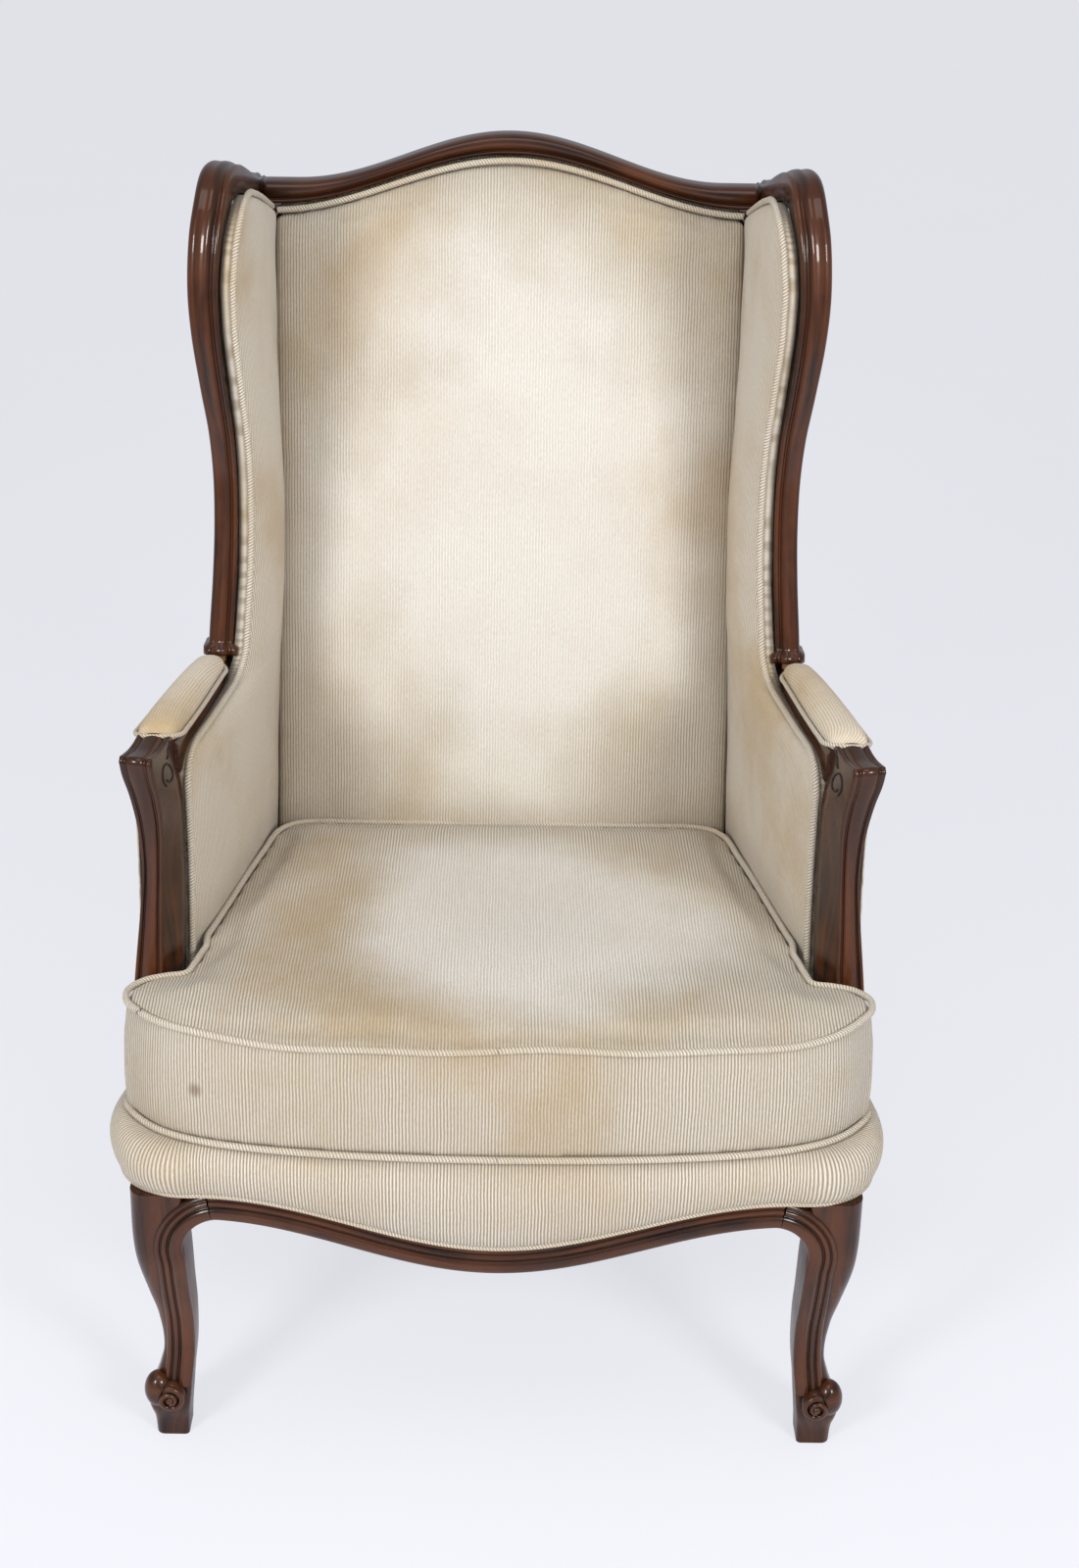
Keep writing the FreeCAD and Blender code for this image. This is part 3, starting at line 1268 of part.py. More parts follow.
def cushion_welt(height):
    """Corded seam round the whole cushion, its two ends almost meeting at a back corner."""
    radius = dim("welt_radius")
    path = cushion_outline(height, -radius - 0.6).discretize(Distance=11)
    path[-1] = path[-1] + (path[-2] - path[-1]).normalize() * 0.6
    circle = Part.Wire(Part.makeCircle(radius))
    return loft([placed(circle, p, d, Vec(0, 0, 1)) for p, d in zip(path, directions(path))], True)


pieces["cushion_welt_top"] = feature("cushion_welt_top", cushion_welt(dim("cushion_high")))
pieces["cushion_welt_bottom"] = feature("cushion_welt_bottom", cushion_welt(dim("cushion_low")))

document.recompute()
for name in [key for key in pieces if key.endswith("_right") and not pieces[key].isDerivedFrom("Part::Cut")]:
    left = name.replace("_right", "_left")
    pieces[left] = mirrored(pieces[name], left)
document.recompute()

# Check every object, then write each piece to its own file.

for item in document.Objects:
    if "Invalid" in item.State or "Error" in item.State:
        raise RuntimeError("failed object: " + item.Name)
os.makedirs("parts", exist_ok=True)
for name, piece in sorted(pieces.items()):
    piece.Label = name
    shape = piece.Shape
    if shape.isNull() or not shape.isValid() or not shape.Solids:
        raise RuntimeError("bad shape: " + name)
    shape.exportStep(os.path.join("parts", name + ".step"))
    bounds = shape.BoundBox
    print("%-28s solids %2d  x %7.1f %7.1f  y %7.1f %7.1f  z %7.1f %7.1f  %9.1f cm3" % (
        name, len(shape.Solids), bounds.XMin, bounds.XMax, bounds.YMin, bounds.YMax, bounds.ZMin, bounds.ZMax,
        shape.Volume / 1000))
print("nodes", len(pieces))
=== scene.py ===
import math

import bpy
import numpy
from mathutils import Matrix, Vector


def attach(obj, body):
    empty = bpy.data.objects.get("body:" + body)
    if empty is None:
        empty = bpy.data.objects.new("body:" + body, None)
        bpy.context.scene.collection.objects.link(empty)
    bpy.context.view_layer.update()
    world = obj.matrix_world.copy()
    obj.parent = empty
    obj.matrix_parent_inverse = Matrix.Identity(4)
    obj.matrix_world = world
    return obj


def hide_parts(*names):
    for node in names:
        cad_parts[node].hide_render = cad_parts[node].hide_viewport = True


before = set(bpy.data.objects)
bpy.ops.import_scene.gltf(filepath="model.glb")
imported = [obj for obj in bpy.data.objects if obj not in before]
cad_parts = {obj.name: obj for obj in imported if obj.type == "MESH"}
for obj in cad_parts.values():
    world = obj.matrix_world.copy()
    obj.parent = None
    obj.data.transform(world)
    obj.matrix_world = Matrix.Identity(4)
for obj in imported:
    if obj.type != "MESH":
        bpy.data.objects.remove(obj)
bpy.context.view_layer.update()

# Inner frame of the seat and the back: sawn beech bars, doweled and glued, left bare because
# cloth covers them. The steel in it is six drawn zigzag springs, their clips, screws and tacks.

MM = 0.001


def linear(colour):
    """Linear red, green, blue and alpha of an sRGB hex colour."""
    parts = [int(colour[start:start + 2], 16) / 255 for start in (0, 2, 4)]
    return tuple(p / 12.92 if p <= 0.04045 else ((p + 0.055) / 1.055) ** 2.4 for p in parts) + (1,)


def add(material, kind, inputs=None, **settings):
    """Add a shader node with its settings; an input is a value, a socket, or the node that feeds it."""
    node = material.node_tree.nodes.new("ShaderNode" + kind)
    for name, value in settings.items():
        setattr(node, name, value)
    for key, value in (inputs or {}).items():
        if isinstance(value, bpy.types.Node):
            value = next(socket for socket in value.outputs if socket.enabled)
        if isinstance(value, bpy.types.NodeSocket):
            material.node_tree.links.new(value, node.inputs[key])
        else:
            node.inputs[key].default_value = value
    return node


def blank(name, **values):
    """A new material and its shader, with plain values on the shader's own sockets."""
    material = bpy.data.materials.new(name)
    material.use_nodes = True
    shader = material.node_tree.nodes["Principled BSDF"]
    for key, value in values.items():
        shader.inputs[key.replace("_", " ")].default_value = value
    return material, shader


def sawn_beech(name, along):
    """Bare beech: pale pinkish tan, fine flecks 1 mm wide and some 12 mm long, dry and matt."""
    material, shader = blank(name, Roughness=0.62)
    links = material.node_tree.links
    place = add(material, "TexCoord")
    stretch = [1.0 if axis != along else 1 / 12 for axis in range(3)]
    grain = add(material, "Mapping", {"Vector": place.outputs["Object"],
                                      "Scale": [1000 * k for k in stretch]})
    fleck = add(material, "TexNoise", {"Vector": grain, "Scale": 0.7, "Detail": 4})
    broad = add(material, "TexNoise", {"Vector": place.outputs["Object"], "Scale": 9})
    tone = add(material, "Mix", {0: broad, 6: linear("c59a68"), 7: linear("ad7f50")}, data_type="RGBA")
    flecked = add(material, "Mix", {0: fleck, 6: tone, 7: linear("8f6238")}, data_type="RGBA")
    links.new(flecked.outputs[2], shader.inputs["Base Color"])
    bump = add(material, "Bump", {"Height": fleck, "Distance": 0.0002, "Strength": 0.5})
    links.new(bump.outputs[0], shader.inputs["Normal"])
    return material


def mottled(name, light, dark, scale, detail, **values):
    """Plain stuff whose tone wanders between two colours; gives the material and its shader."""
    material, shader = blank(name, **values)
    place = add(material, "TexCoord")
    cloud = add(material, "TexNoise", {"Vector": place.outputs["Object"], "Scale": scale, "Detail": detail})
    tone = add(material, "Mix", {0: cloud, 6: linear(light), 7: linear(dark)}, data_type="RGBA")
    material.node_tree.links.new(tone.outputs[2], shader.inputs["Base Color"])
    return material, shader


def dress(node, material):
    """Give a CAD node its material."""
    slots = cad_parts[node].data.materials
    slots.clear()
    slots.append(material)


beech_across = sawn_beech("sawn beech along the width", 0)
beech_deep = sawn_beech("sawn beech along the depth", 1)
beech_upright = sawn_beech("sawn beech upright", 2)
for node in ("back_seat_rail", "back_bottom_rail", "corner_blocks", "frame_dowels"):
    dress(node, beech_across)
for side in ("right", "left"):
    dress("side_bottom_rail_" + side, beech_deep)
    dress("arm_upright_" + side, beech_upright)
steel, _ = mottled("drawn spring steel", "77787a", "4d4b49", 400, 3, Metallic=1.0, Roughness=0.42)
for node in ("seat_springs", "spring_clips", "corner_block_screws", "dust_cover_tacks"):
    dress(node, steel)

# Crest rail: the serpentine top of the back, sawn from one walnut-stained plank and moulded
# with a thin bead, a middle bead and a broad round, then polished.

BACK_FLOOR = 144.4
BACK_SLOPE = 0.1875
CREST_HALF = 250
CREST_DEPTH = 50
CREST_SET = 2
CREST_LOW = 1050
CREST_LIFT = 50
CREST_TOP = 1072.5
CREST_RISE = 47.5


def back_y(z):
    """Outer plane of the raked back at a height."""
    return BACK_FLOOR + BACK_SLOPE * z


def swell(x, reach):
    """One smooth hump: 1 at the middle, 0 from the reach outwards."""
    return 0.0 if abs(x) >= reach else 0.5 * (1 + math.cos(math.pi * x / reach))


def crest_edge(x):
    return CREST_LOW + CREST_LIFT * swell(x, 240)


def crest_ridge(x):
    return CREST_TOP + CREST_RISE * swell(x, 215)


def steps(start, end, count):
    return [start + (end - start) * index / count for index in range(count + 1)]


def run_of(points):
    """Distance along a path at each of its points."""
    return numpy.concatenate([[0], numpy.cumsum(numpy.linalg.norm(numpy.diff(points, axis=0), axis=1))])


def curve(points, count, chord=3):
    """Smooth path through the points, resampled at even steps; the first columns give the length."""
    known = numpy.array(points, float)
    gap = numpy.linalg.norm(numpy.diff(known[:, :chord], axis=0), axis=1) ** 0.5
    knot = numpy.concatenate([[0], numpy.cumsum(gap)])
    slope = numpy.gradient(known, knot, axis=0)
    fine = []
    for index in range(len(known) - 1):
        span = knot[index + 1] - knot[index]
        for share in numpy.linspace(0, 1, 24, endpoint=False):
            a = (1 + 2 * share) * (1 - share) ** 2
            b = share * (1 - share) ** 2 * span
            c = share ** 2 * (3 - 2 * share)
            d = share ** 2 * (share - 1) * span
            fine.append(a * known[index] + b * slope[index] + c * known[index + 1] + d * slope[index + 1])
    fine = numpy.array(fine + [known[-1]])
    run = run_of(fine[:, :chord])
    at = numpy.linspace(0, run[-1], count + 1)
    return numpy.stack([numpy.interp(at, run, fine[:, column]) for column in range(fine.shape[1])], axis=1)


def patch(name, rows, lay=None, closed=True, sharp=None):
    """Quads laid on rows of points in mm, doubles merged and open ends filled.

    Each row of a closed form repeats its first point. lay gives a point's place on the cloth or
    the plank in mm; without it the girth and the length along the rows do.
    """
    rows = numpy.array(rows, float)
    along, across = rows.shape[0] - 1, rows.shape[1] - 1
    bpy.ops.object.select_all(action="DESELECT")
    bpy.ops.mesh.primitive_grid_add(x_subdivisions=across, y_subdivisions=along, size=1)
    piece = bpy.context.object
    piece.name = piece.data.name = name
    mesh = piece.data
    mesh.vertices.foreach_set("co", (rows * MM).ravel())
    if lay:
        flat = numpy.array([[lay(point) for point in row] for row in rows], float)
    else:
        girth = numpy.linalg.norm(numpy.diff(rows, axis=1), axis=2)
        girth = numpy.concatenate([numpy.zeros((along + 1, 1)), numpy.cumsum(girth, axis=1)], axis=1)
        centre = rows[:, :-1].mean(axis=1)
        run = run_of(centre)
        flat = numpy.stack([girth, numpy.repeat(run[:, None], across + 1, axis=1)], axis=2)
    corner = numpy.empty(len(mesh.loops), int)
    mesh.loops.foreach_get("vertex_index", corner)
    mesh.uv_layers[0].data.foreach_set("uv", (flat.reshape(-1, 2) * MM)[corner].ravel())
    mesh.update()
    bpy.ops.object.mode_set(mode="EDIT")
    bpy.ops.mesh.select_all(action="SELECT")
    bpy.ops.mesh.remove_doubles(threshold=0.00002)
    if closed:
        bpy.ops.mesh.fill_holes(sides=0)
    bpy.ops.mesh.select_all(action="SELECT")
    bpy.ops.mesh.normals_make_consistent(inside=False)
    bpy.ops.object.mode_set(mode="OBJECT")
    if sharp:
        bpy.ops.object.shade_smooth_by_angle(angle=math.radians(sharp))
    else:
        bpy.ops.object.shade_smooth()
    return piece


def flipped(rows, side):
    """The rows themselves on the right, mirrored on the left."""
    return numpy.array(rows, float) * (side, 1, 1)


def polished_walnut():
    """Walnut-stained beech, French polished: red-brown with darker streaks, wax dark in the grooves.

    The knuckles of the arms are darkened by hands, within 11 cm of their middle.
    """
    material, shader = blank("walnut stained wood, French polished", Roughness=0.3, Coat_Weight=0.4,
                             Coat_Roughness=0.06, Specular_IOR_Level=0.2)
    links = material.node_tree.links
    plank = add(material, "UVMap")
    place = add(material, "TexCoord")
    figure_scale = add(material, "Mapping", {"Vector": plank, "Scale": (90, 7, 1)})
    pore_scale = add(material, "Mapping", {"Vector": plank, "Scale": (1400, 60, 1)})
    figure = add(material, "TexNoise", {"Vector": figure_scale, "Scale": 1, "Detail": 5, "Distortion": 0.6})
    pore = add(material, "TexNoise", {"Vector": pore_scale, "Scale": 1, "Detail": 3})
    shade = add(material, "MapRange", {"Value": figure, "From Min": 0.35, "From Max": 0.68})
    stain = add(material, "Mix", {0: shade, 6: linear("502911"), 7: linear("200e06")}, data_type="RGBA")
    pore_share = add(material, "MapRange", {"Value": pore, "From Min": 0.55, "From Max": 0.75,
                                            "To Max": 0.55})
    pored = add(material, "Mix", {0: pore_share, 6: stain, 7: linear("1a0b03")}, data_type="RGBA")
    rubbed = add(material, "TexNoise", {"Vector": place.outputs["Object"], "Scale": 11, "Detail": 4})
    rub_share = add(material, "MapRange", {"Value": rubbed, "From Min": 0.5, "From Max": 0.75,
                                           "To Max": 0.45})
    worn = add(material, "Mix", {0: rub_share, 6: pored, 7: linear("673a1c")}, data_type="RGBA")
    hollow = add(material, "AmbientOcclusion", {"Distance": 0.006}, samples=6, only_local=True)
    wax = add(material, "MapRange", {"Value": hollow.outputs["AO"], "From Min": 0.45, "From Max": 0.95,
                                     "To Min": 0.75, "To Max": 0.0})
    folded = add(material, "VectorMath", {0: place.outputs["Object"]}, operation="ABSOLUTE")
    held = add(material, "VectorMath", {0: folded, 1: (0.325, 0.185, 0.63)}, operation="DISTANCE")
    grip = add(material, "MapRange", {"Value": held.outputs["Value"], "From Min": 0.02, "From Max": 0.11,
                                      "To Min": 0.5, "To Max": 0.0})
    handled = add(material, "Mix", {0: grip, 6: worn, 7: linear("321a0d")}, data_type="RGBA")
    waxed = add(material, "Mix", {0: wax, 6: handled, 7: linear("120701")}, data_type="RGBA")
    links.new(waxed.outputs[2], shader.inputs["Base Color"])
    gloss = add(material, "MapRange", {"Value": rubbed, "From Min": 0.3, "From Max": 0.7, "To Min": 0.22,
                                       "To Max": 0.38})
    links.new(gloss.outputs[0], shader.inputs["Roughness"])
    bump = add(material, "Bump", {"Height": pore, "Distance": 0.00015, "Strength": 0.35})
    links.new(bump.outputs[0], shader.inputs["Normal"])
    return material


walnut = polished_walnut()


def show_wood(piece, *nodes):
    """Polish a show-wood piece and set it in place of its CAD nodes."""
    piece.data.materials.append(walnut)
    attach(piece, "chair")
    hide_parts(*nodes)
    return piece


PLANK_HIGH = 21.4
# Depth behind the front face and height of the moulding's section, on a plank 21 mm high.
CREST_SECTION = [(26, 0), (14, 0), (6, 0), (3.8, 0.3), (2.8, 1.7), (3.0, 3.3), (5.0, 4.3), (5.2, 5.1),
                 (2.9, 6.1), (1.6, 8), (0.6, 10.6), (0.1, 13.4), (0.8, 16.2), (3.2, 18.9), (8, 20.7),
                 (16, 21.4), (26, 21.4), (37, 20.4), (45, 17), (48.5, 11), (48.5, 3), (47, 0.3), (38, 0),
                 (26, 0)]
crest_section = curve(CREST_SECTION, 96, chord=2)
crest_rows = []
for x in steps(-CREST_HALF, CREST_HALF, 110):
    low, high = crest_edge(x), crest_ridge(x)
    front = back_y((low + high) / 2) - CREST_SET - CREST_DEPTH
    tall = (high - low) / PLANK_HIGH
    crest_rows.append([(x, front + depth, low + rise * tall) for depth, rise in crest_section])
show_wood(patch("crest_rail_moulding", crest_rows), "crest_rail")

# Wing rails: one polished moulding a side, glued up from two lengths. It runs forward from the
# crest, curls over at the ear and comes down to a small collar on the arm.

# Centre x, y, z, width across the chair and depth square to the run, on the right.
EAR = [(260.8, 342, 1060, 20, 27), (262.2, 300, 1064, 22, 27), (263.5, 250, 1074, 25, 28),
       (266, 200, 1087, 28, 29), (268.5, 160, 1096, 30, 30), (270.5, 130, 1099, 31, 31),
       (272.5, 105, 1095, 31, 32), (274.5, 88, 1082, 31, 33)]
WING = [(274.5, 88, 1082, 31, 33), (279, 76, 1055, 30.5, 34), (282.5, 70, 1010, 29, 34),
        (281.5, 70, 970, 27.5, 34), (277, 75, 920, 25.5, 34), (272.5, 82, 875, 24, 33),
        (270.5, 85, 830, 23.5, 32), (270.8, 81, 780, 23.5, 32), (273, 73, 730, 24, 32),
        (277, 63, 675, 24.5, 32), (278, 61, 656, 25, 32)]
# Share of the width from the outer side, and share of the depth below the show face.
WING_SECTION = [(0.5, -1), (0.05, -0.99), (0, -0.9), (0, -0.6), (0, -0.36), (0.02, -0.17), (0.08, -0.06),
                (0.2, 0), (0.32, -0.012), (0.42, -0.022), (0.52, -0.006), (0.61, -0.03), (0.69, -0.09),
                (0.735, -0.15), (0.765, -0.16), (0.8, -0.125), (0.85, -0.105), (0.91, -0.115),
                (0.955, -0.17), (0.97, -0.26), (0.97, -0.6), (0.95, -0.97), (0.5, -1)]
COLLAR_HEIGHT = 9
COLLAR_OUT = 5


def moulded_run(stations, section, count):
    """Rings of a moulding along stations of centre, width and depth."""
    path = curve(stations, count)
    way = numpy.gradient(path[:, :3], axis=0)
    rings = []
    for (x, y, z, width, depth), forward in zip(path, way):
        forward = forward / numpy.linalg.norm(forward)
        across = numpy.array([1, 0, 0]) - forward * forward[0]
        across /= numpy.linalg.norm(across)
        up = numpy.cross(forward, across)
        rings.append([numpy.array([x, y, z]) + across * (0.5 - share) * width + up * (0.5 + drop) * depth
                      for share, drop in section])
    return rings


wing_section = curve(WING_SECTION, 84, chord=2)
SIDES = ((1, "right"), (-1, "left"))
whole_wing = moulded_run(EAR + WING[1:], wing_section, 200)
for side, label in SIDES:
    rings = []
    for ring in whole_wing:
        rise = float(numpy.mean([point[2] for point in ring])) - WING[-1][2]
        if rise < COLLAR_HEIGHT:
            centre = numpy.mean(ring, axis=0)
            ring = [centre + (point - centre) * (1 + 2 * COLLAR_OUT / WING[-1][3]
                                                 * min(1, (COLLAR_HEIGHT - rise) / 2)) for point in ring]
        rings.append(ring)
    show_wood(patch("wing_moulding_" + label, flipped(rings, side)),
              "wing_top_rail_" + label, "wing_post_" + label)

# Arm posts: hollow-curved supports doweled to the seat rail. A middle round between two side
# beads runs up the front, turns over the sharp knuckle and ends against the arm pad.

# Corners at each station: inner back, inner front, outer front, outer back.
ARM_POST = [
    [(305, -186, 295), (307, -224, 295), (337, -226, 295), (337, -186, 295)],
    [(300, -182, 340), (309, -222, 340), (339, -221, 340), (338, -180, 340)],
    [(294, -170, 400), (309, -213, 400), (338.5, -210, 400), (337, -168, 400)],
    [(291, -162, 440), (308, -206, 440), (335, -203, 440), (333, -160, 440)],
    [(289.5, -155, 500), (307.5, -197, 500), (328.5, -194, 500), (327, -152, 500)],
    [(289, -151, 540), (306, -193, 540), (325.5, -190, 540), (324, -148, 540)],
    [(289, -149, 578), (304, -193, 580), (328, -189, 580), (326, -147, 578)],
    [(290, -148, 600), (305.5, -197, 612), (333, -192, 612), (330, -147, 600)],
    [(291, -149, 611), (308.5, -203, 634), (337.5, -197, 634), (334, -148, 611)],
    [(292, -148, 614), (309.6, -204.6, 647), (339, -199, 648), (335, -147, 614)]]
KNUCKLE = [
    [(292.2, -146, 615), (309, -201.5, 651.5), (338.4, -196, 652), (335, -145, 615)],
    [(292.5, -143, 615), (307, -193, 650.5), (337, -188.5, 651), (335, -142, 615)],
    [(293, -137, 615), (304, -180, 649.5), (334.5, -176, 650), (335, -136, 615)],
    [(293.5, -131, 615), (301.5, -167, 650.5), (332, -164, 651), (335, -130, 615)],
    [(293.5, -126, 615), (299.5, -156, 652), (330.5, -154, 652.5), (334.5, -125, 615)],
    [(293.5, -122, 615), (298.5, -148, 653), (329.5, -147, 653.5), (334, -121, 615)]]
# Share across the show face and depth below it, in mm.
POST_FACE = [(0.0, 3.4), (0.02, 1.8), (0.06, 0.8), (0.11, 0.7), (0.15, 1.3), (0.18, 2.3), (0.2, 2.6),
             (0.225, 2.1), (0.27, 0.5), (0.36, -0.7), (0.5, -1.2), (0.64, -0.7), (0.73, 0.5), (0.775, 2.1),
             (0.8, 2.6), (0.82, 2.3), (0.85, 1.3), (0.89, 0.7), (0.94, 0.8), (0.98, 1.8), (1.0, 3.4)]
post_face = curve(POST_FACE, 60, chord=2)


def show_ring(corners):
    """Ring of one station: the moulded face, then the outer side, the back and the inner side."""
    inner_back, inner_front, outer_front, outer_back = [numpy.array(corner) for corner in corners]
    inward = (inner_back + outer_back - inner_front - outer_front) / 2
    inward /= numpy.linalg.norm(inward)
    ring = [inner_front + (outer_front - inner_front) * share + inward * depth for share, depth in post_face]
    last, first = ring[-1], ring[0]
    soft = (outer_back + inner_back) / 2
    for start, end in ((last, outer_back), (outer_back, inner_back), (inner_back, first)):
        for share in (0.06, 0.3, 0.6, 0.94):
            point = start + (end - start) * share
            blunt = (start is not last or share > 0.1) and (end is not first or share < 0.9)
            if share in (0.06, 0.94) and blunt:
                point = point + (soft - point) * 0.01
            ring.append(point)
    return ring + [first]


def station_curve(stations, count):
    """Stations at even steps along their corners."""
    flat = [[value for corner in station for value in corner] for station in stations]
    order = [[*row[3:6], *row] for row in flat]
    return [[row[3:6], row[6:9], row[9:12], row[12:15]] for row in curve(order, count)]


post_rings = [show_ring(corners) for corners in station_curve(ARM_POST, 90)]
knuckle_rings = [show_ring(corners) for corners in station_curve(KNUCKLE, 26)]
for side, label in SIDES:
    show_wood(patch("arm_post_moulding_" + label, flipped(post_rings + knuckle_rings, side), sharp=72),
              "arm_post_" + label)

# Engraved scroll on the inner side of each knuckle: a shallow cut filled with dark wax, a curl
# with a small hook behind it.

WAX_LINE = 1.1


def tube_rings(points, radius, count=8, spin=(0, 0, 1)):
    """Rings of a round cord along a path."""
    path = numpy.array(points, float)
    way = numpy.gradient(path, axis=0)
    rings = []
    for point, forward in zip(path, way):
        forward = forward / numpy.linalg.norm(forward)
        across = numpy.cross(forward, spin)
        across /= numpy.linalg.norm(across)
        up = numpy.cross(across, forward)
        rings.append([point + (across * math.cos(turn) + up * math.sin(turn)) * radius
                      for turn in steps(0, 2 * math.pi, count)])
    return rings


def knuckle_side(forward, up):
    """Point on the inner side of the right knuckle, from its carved eye, in mm."""
    eye = numpy.array([299.2, -172, 624.5])
    along = numpy.array([0.30, -0.95, 0.05])
    rise = numpy.array([0.16, -0.10, 0.98])
    return eye + along * forward + rise * up


wax, _ = mottled("dark wax in a carved line", "080302", "160a05", 900, 2, Roughness=0.6)
curl = [(radius * math.cos(turn), radius * math.sin(turn))
        for turn, radius in zip(steps(-0.9, 5.6, 40), steps(12.5, 7, 40))]
hook = curve([(-7.5, 13.5), (-11, 15), (-14, 20), (-17, 21.5), (-21, 27)], 20, chord=2)
for side, label in SIDES:
    post = bpy.data.objects["arm_post_moulding_" + label]
    for name, line in (("knuckle_scroll_", curl), ("knuckle_hook_", hook)):
        points = []
        for forward, up in line:
            near = knuckle_side(forward, up) * (side, 1, 1) * MM
            points.append(numpy.array(post.closest_point_on_mesh(near)[1]) / MM)
        cut = patch(name + label, tube_rings(points, WAX_LINE, spin=(1, 0, 0)))
        cut.data.materials.append(wax)
        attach(cut, "chair")

# Arm rails: level bars between the wing post and the arm post, the outer side moulded with a
# quirk. They are seen only beside the arm pads that sit on them.

ARM_LOW = 614
ARM_TOP = 646


def between(table, key):
    return float(numpy.interp(key, [row[0] for row in table], [row[1] for row in table]))


def arm_inner(y):
    return 293.2 - 0.119 * (y + 151)


def arm_outer(y):
    return between([(-151, 335), (60, 290), (235, 265)], y)


arm_rows = []
for y in steps(-146, 200, 40):
    inner, outer = arm_inner(y), arm_outer(y)
    top = ARM_TOP - 0.5
    arm_rows.append([(inner + 1, y, ARM_LOW), (outer - 3, y, ARM_LOW), (outer - 0.5, y, ARM_LOW + 2),
                     (outer, y, ARM_LOW + 6), (outer - 1.5, y, ARM_LOW + 9), (outer, y, ARM_LOW + 12),
                     (outer + 0.5, y, 634), (outer - 0.5, y, 641), (outer - 4, y, top), (inner + 4, y, top),
                     (inner, y, 641), (inner, y, ARM_LOW + 1), (inner + 1, y, ARM_LOW)])
for side, label in SIDES:
    show_wood(patch("arm_rail_bar_" + label, flipped(arm_rows, side), sharp=40), "arm_rail_" + label)

# Front rail and front legs. Three mouldings follow the serpentine edge of the rail, turn down
# through the brackets and run along the cabriole legs to the scroll of each foot.

FRONT_ARCH = 253.5
FRONT_DIP = 50.5
RAIL_REACH = 256
BRACKET = 34
RAIL_TOP = 295
# Height, inner face and outer face of the right leg.
CABRIOLE = [(0, 289, 320), (18, 288, 321), (40, 286, 325), (62, 284, 318), (90, 281, 311), (130, 280, 314),
            (160, 281, 320.6), (200, 282, 329), (225, 283, 331), (277.5, 282, 331)]
BAND_TOP = 26.5
# Place across the band from its lower edge, and how far it stands forward.
BAND = [(0, -3), (0, 0.5), (0.8, 2.4), (3.2, 4.0), (7, 4.5), (10.6, 3.9), (12.6, 2.4), (13.3, 1.1), (14, 0.9),
        (14.8, 2.1), (16.4, 3.3), (18.2, 3.2), (19.5, 2.0), (20, 0.9), (20.7, 0.8), (21.5, 1.9), (22.9, 2.7),
        (24.6, 2.3), (25.8, 0.9), (26.4, -0.6), (26.6, -3)]


def rail_edge(x):
    return FRONT_ARCH - FRONT_DIP * swell(x, 262)


def lip_face(x):
    return -328 + 5 * (x / RAIL_REACH) ** 2


leg_path = curve(CABRIOLE, 80, chord=1)


def leg_front(z):
    return -(float(numpy.interp(z, leg_path[:, 0], leg_path[:, 2])) - 7)


def leg_inner(z):
    return float(numpy.interp(z, leg_path[:, 0], leg_path[:, 1]))


band_points = [(x, lip_face(x), rail_edge(x)) for x in steps(0, 240, 40)]
for turn in steps(math.radians(84), 0, 12):
    x, z = 250 + BRACKET * math.cos(turn), FRONT_ARCH - BRACKET + BRACKET * math.sin(turn)
    share = math.cos(turn)
    band_points.append((x, lip_face(min(x, RAIL_REACH)) * (1 - share) + leg_front(z) * share, z))
band_points += [(leg_inner(z), leg_front(z), z) for z in steps(206, 58, 16)]
band_path = curve(band_points, 230)
band_profile = curve(BAND, 60, chord=2)


def band_rings(path, depth):
    """Rings of the moulded band; depth tells how deep its back goes at a point of the path."""
    way = numpy.gradient(path, axis=0)
    rings = []
    for (x, y, z), forward in zip(path, way):
        outward = numpy.array([-forward[2], 0, forward[0]])
        outward /= numpy.linalg.norm(outward)
        ring = [numpy.array([x, y - rise, z]) + outward * across for across, rise in band_profile]
        back = depth(x, z)
        ring += [numpy.array([x, y + back, z]) + outward * across for across in steps(BAND[-1][0], 0, 4)]
        rings.append(ring + [ring[0]])
    return rings


rail_share = [index for index, point in enumerate(band_path) if point[0] < RAIL_REACH and point[2] > 190]
half_rail = band_path[:rail_share[-1] + 1]
whole_rail = numpy.concatenate([(half_rail * (-1, 1, 1))[::-1], half_rail[1:]])
front_rail = patch("front_rail_moulding", band_rings(whole_rail, lambda x, z: 30), sharp=60)
show_wood(front_rail, "front_seat_rail")

side_path = band_path[rail_share[-1]:]


def bracket_depth(x, z):
    return 4 + 26 * max(0, min(1, (z - 205) / 15))


def corner_ring(inner, outer, back, front, z, rounds):
    """Ring of a square section with a round of its own at each corner."""
    corners = [(inner, back, rounds[0]), (inner, front, rounds[1]), (outer, front, rounds[2]),
               (outer, back, rounds[3])]
    starts = (math.pi / 2, math.pi, 1.5 * math.pi, 2 * math.pi)
    ring = []
    for (x, y, radius), start in zip(corners, starts):
        centre_x = x + radius if x == inner else x - radius
        centre_y = y + radius if y == front else y - radius
        for turn in steps(start, start + math.pi / 2, 9):
            ring.append((centre_x + radius * math.cos(turn), centre_y + radius * math.sin(turn), z))
    return ring + [ring[0]]


leg_rows = []
for z, inner, outer in leg_path:
    knee = max(0, min(1, (z - 80) / 120))
    leg_rows.append(corner_ring(inner, outer, -inner + 10, -outer + 7, z, (7, 4, 8 + 8 * knee, 8)))
volute = []
for share in steps(0, 1, 70):
    turn = math.radians(80 + 560 * share)
    radius = 12.5 * (1 - share) + 3.4 * share
    volute.append((303.5 + radius * math.cos(turn), -324.5 - 3.0 * share, 50 + radius * math.sin(turn)))


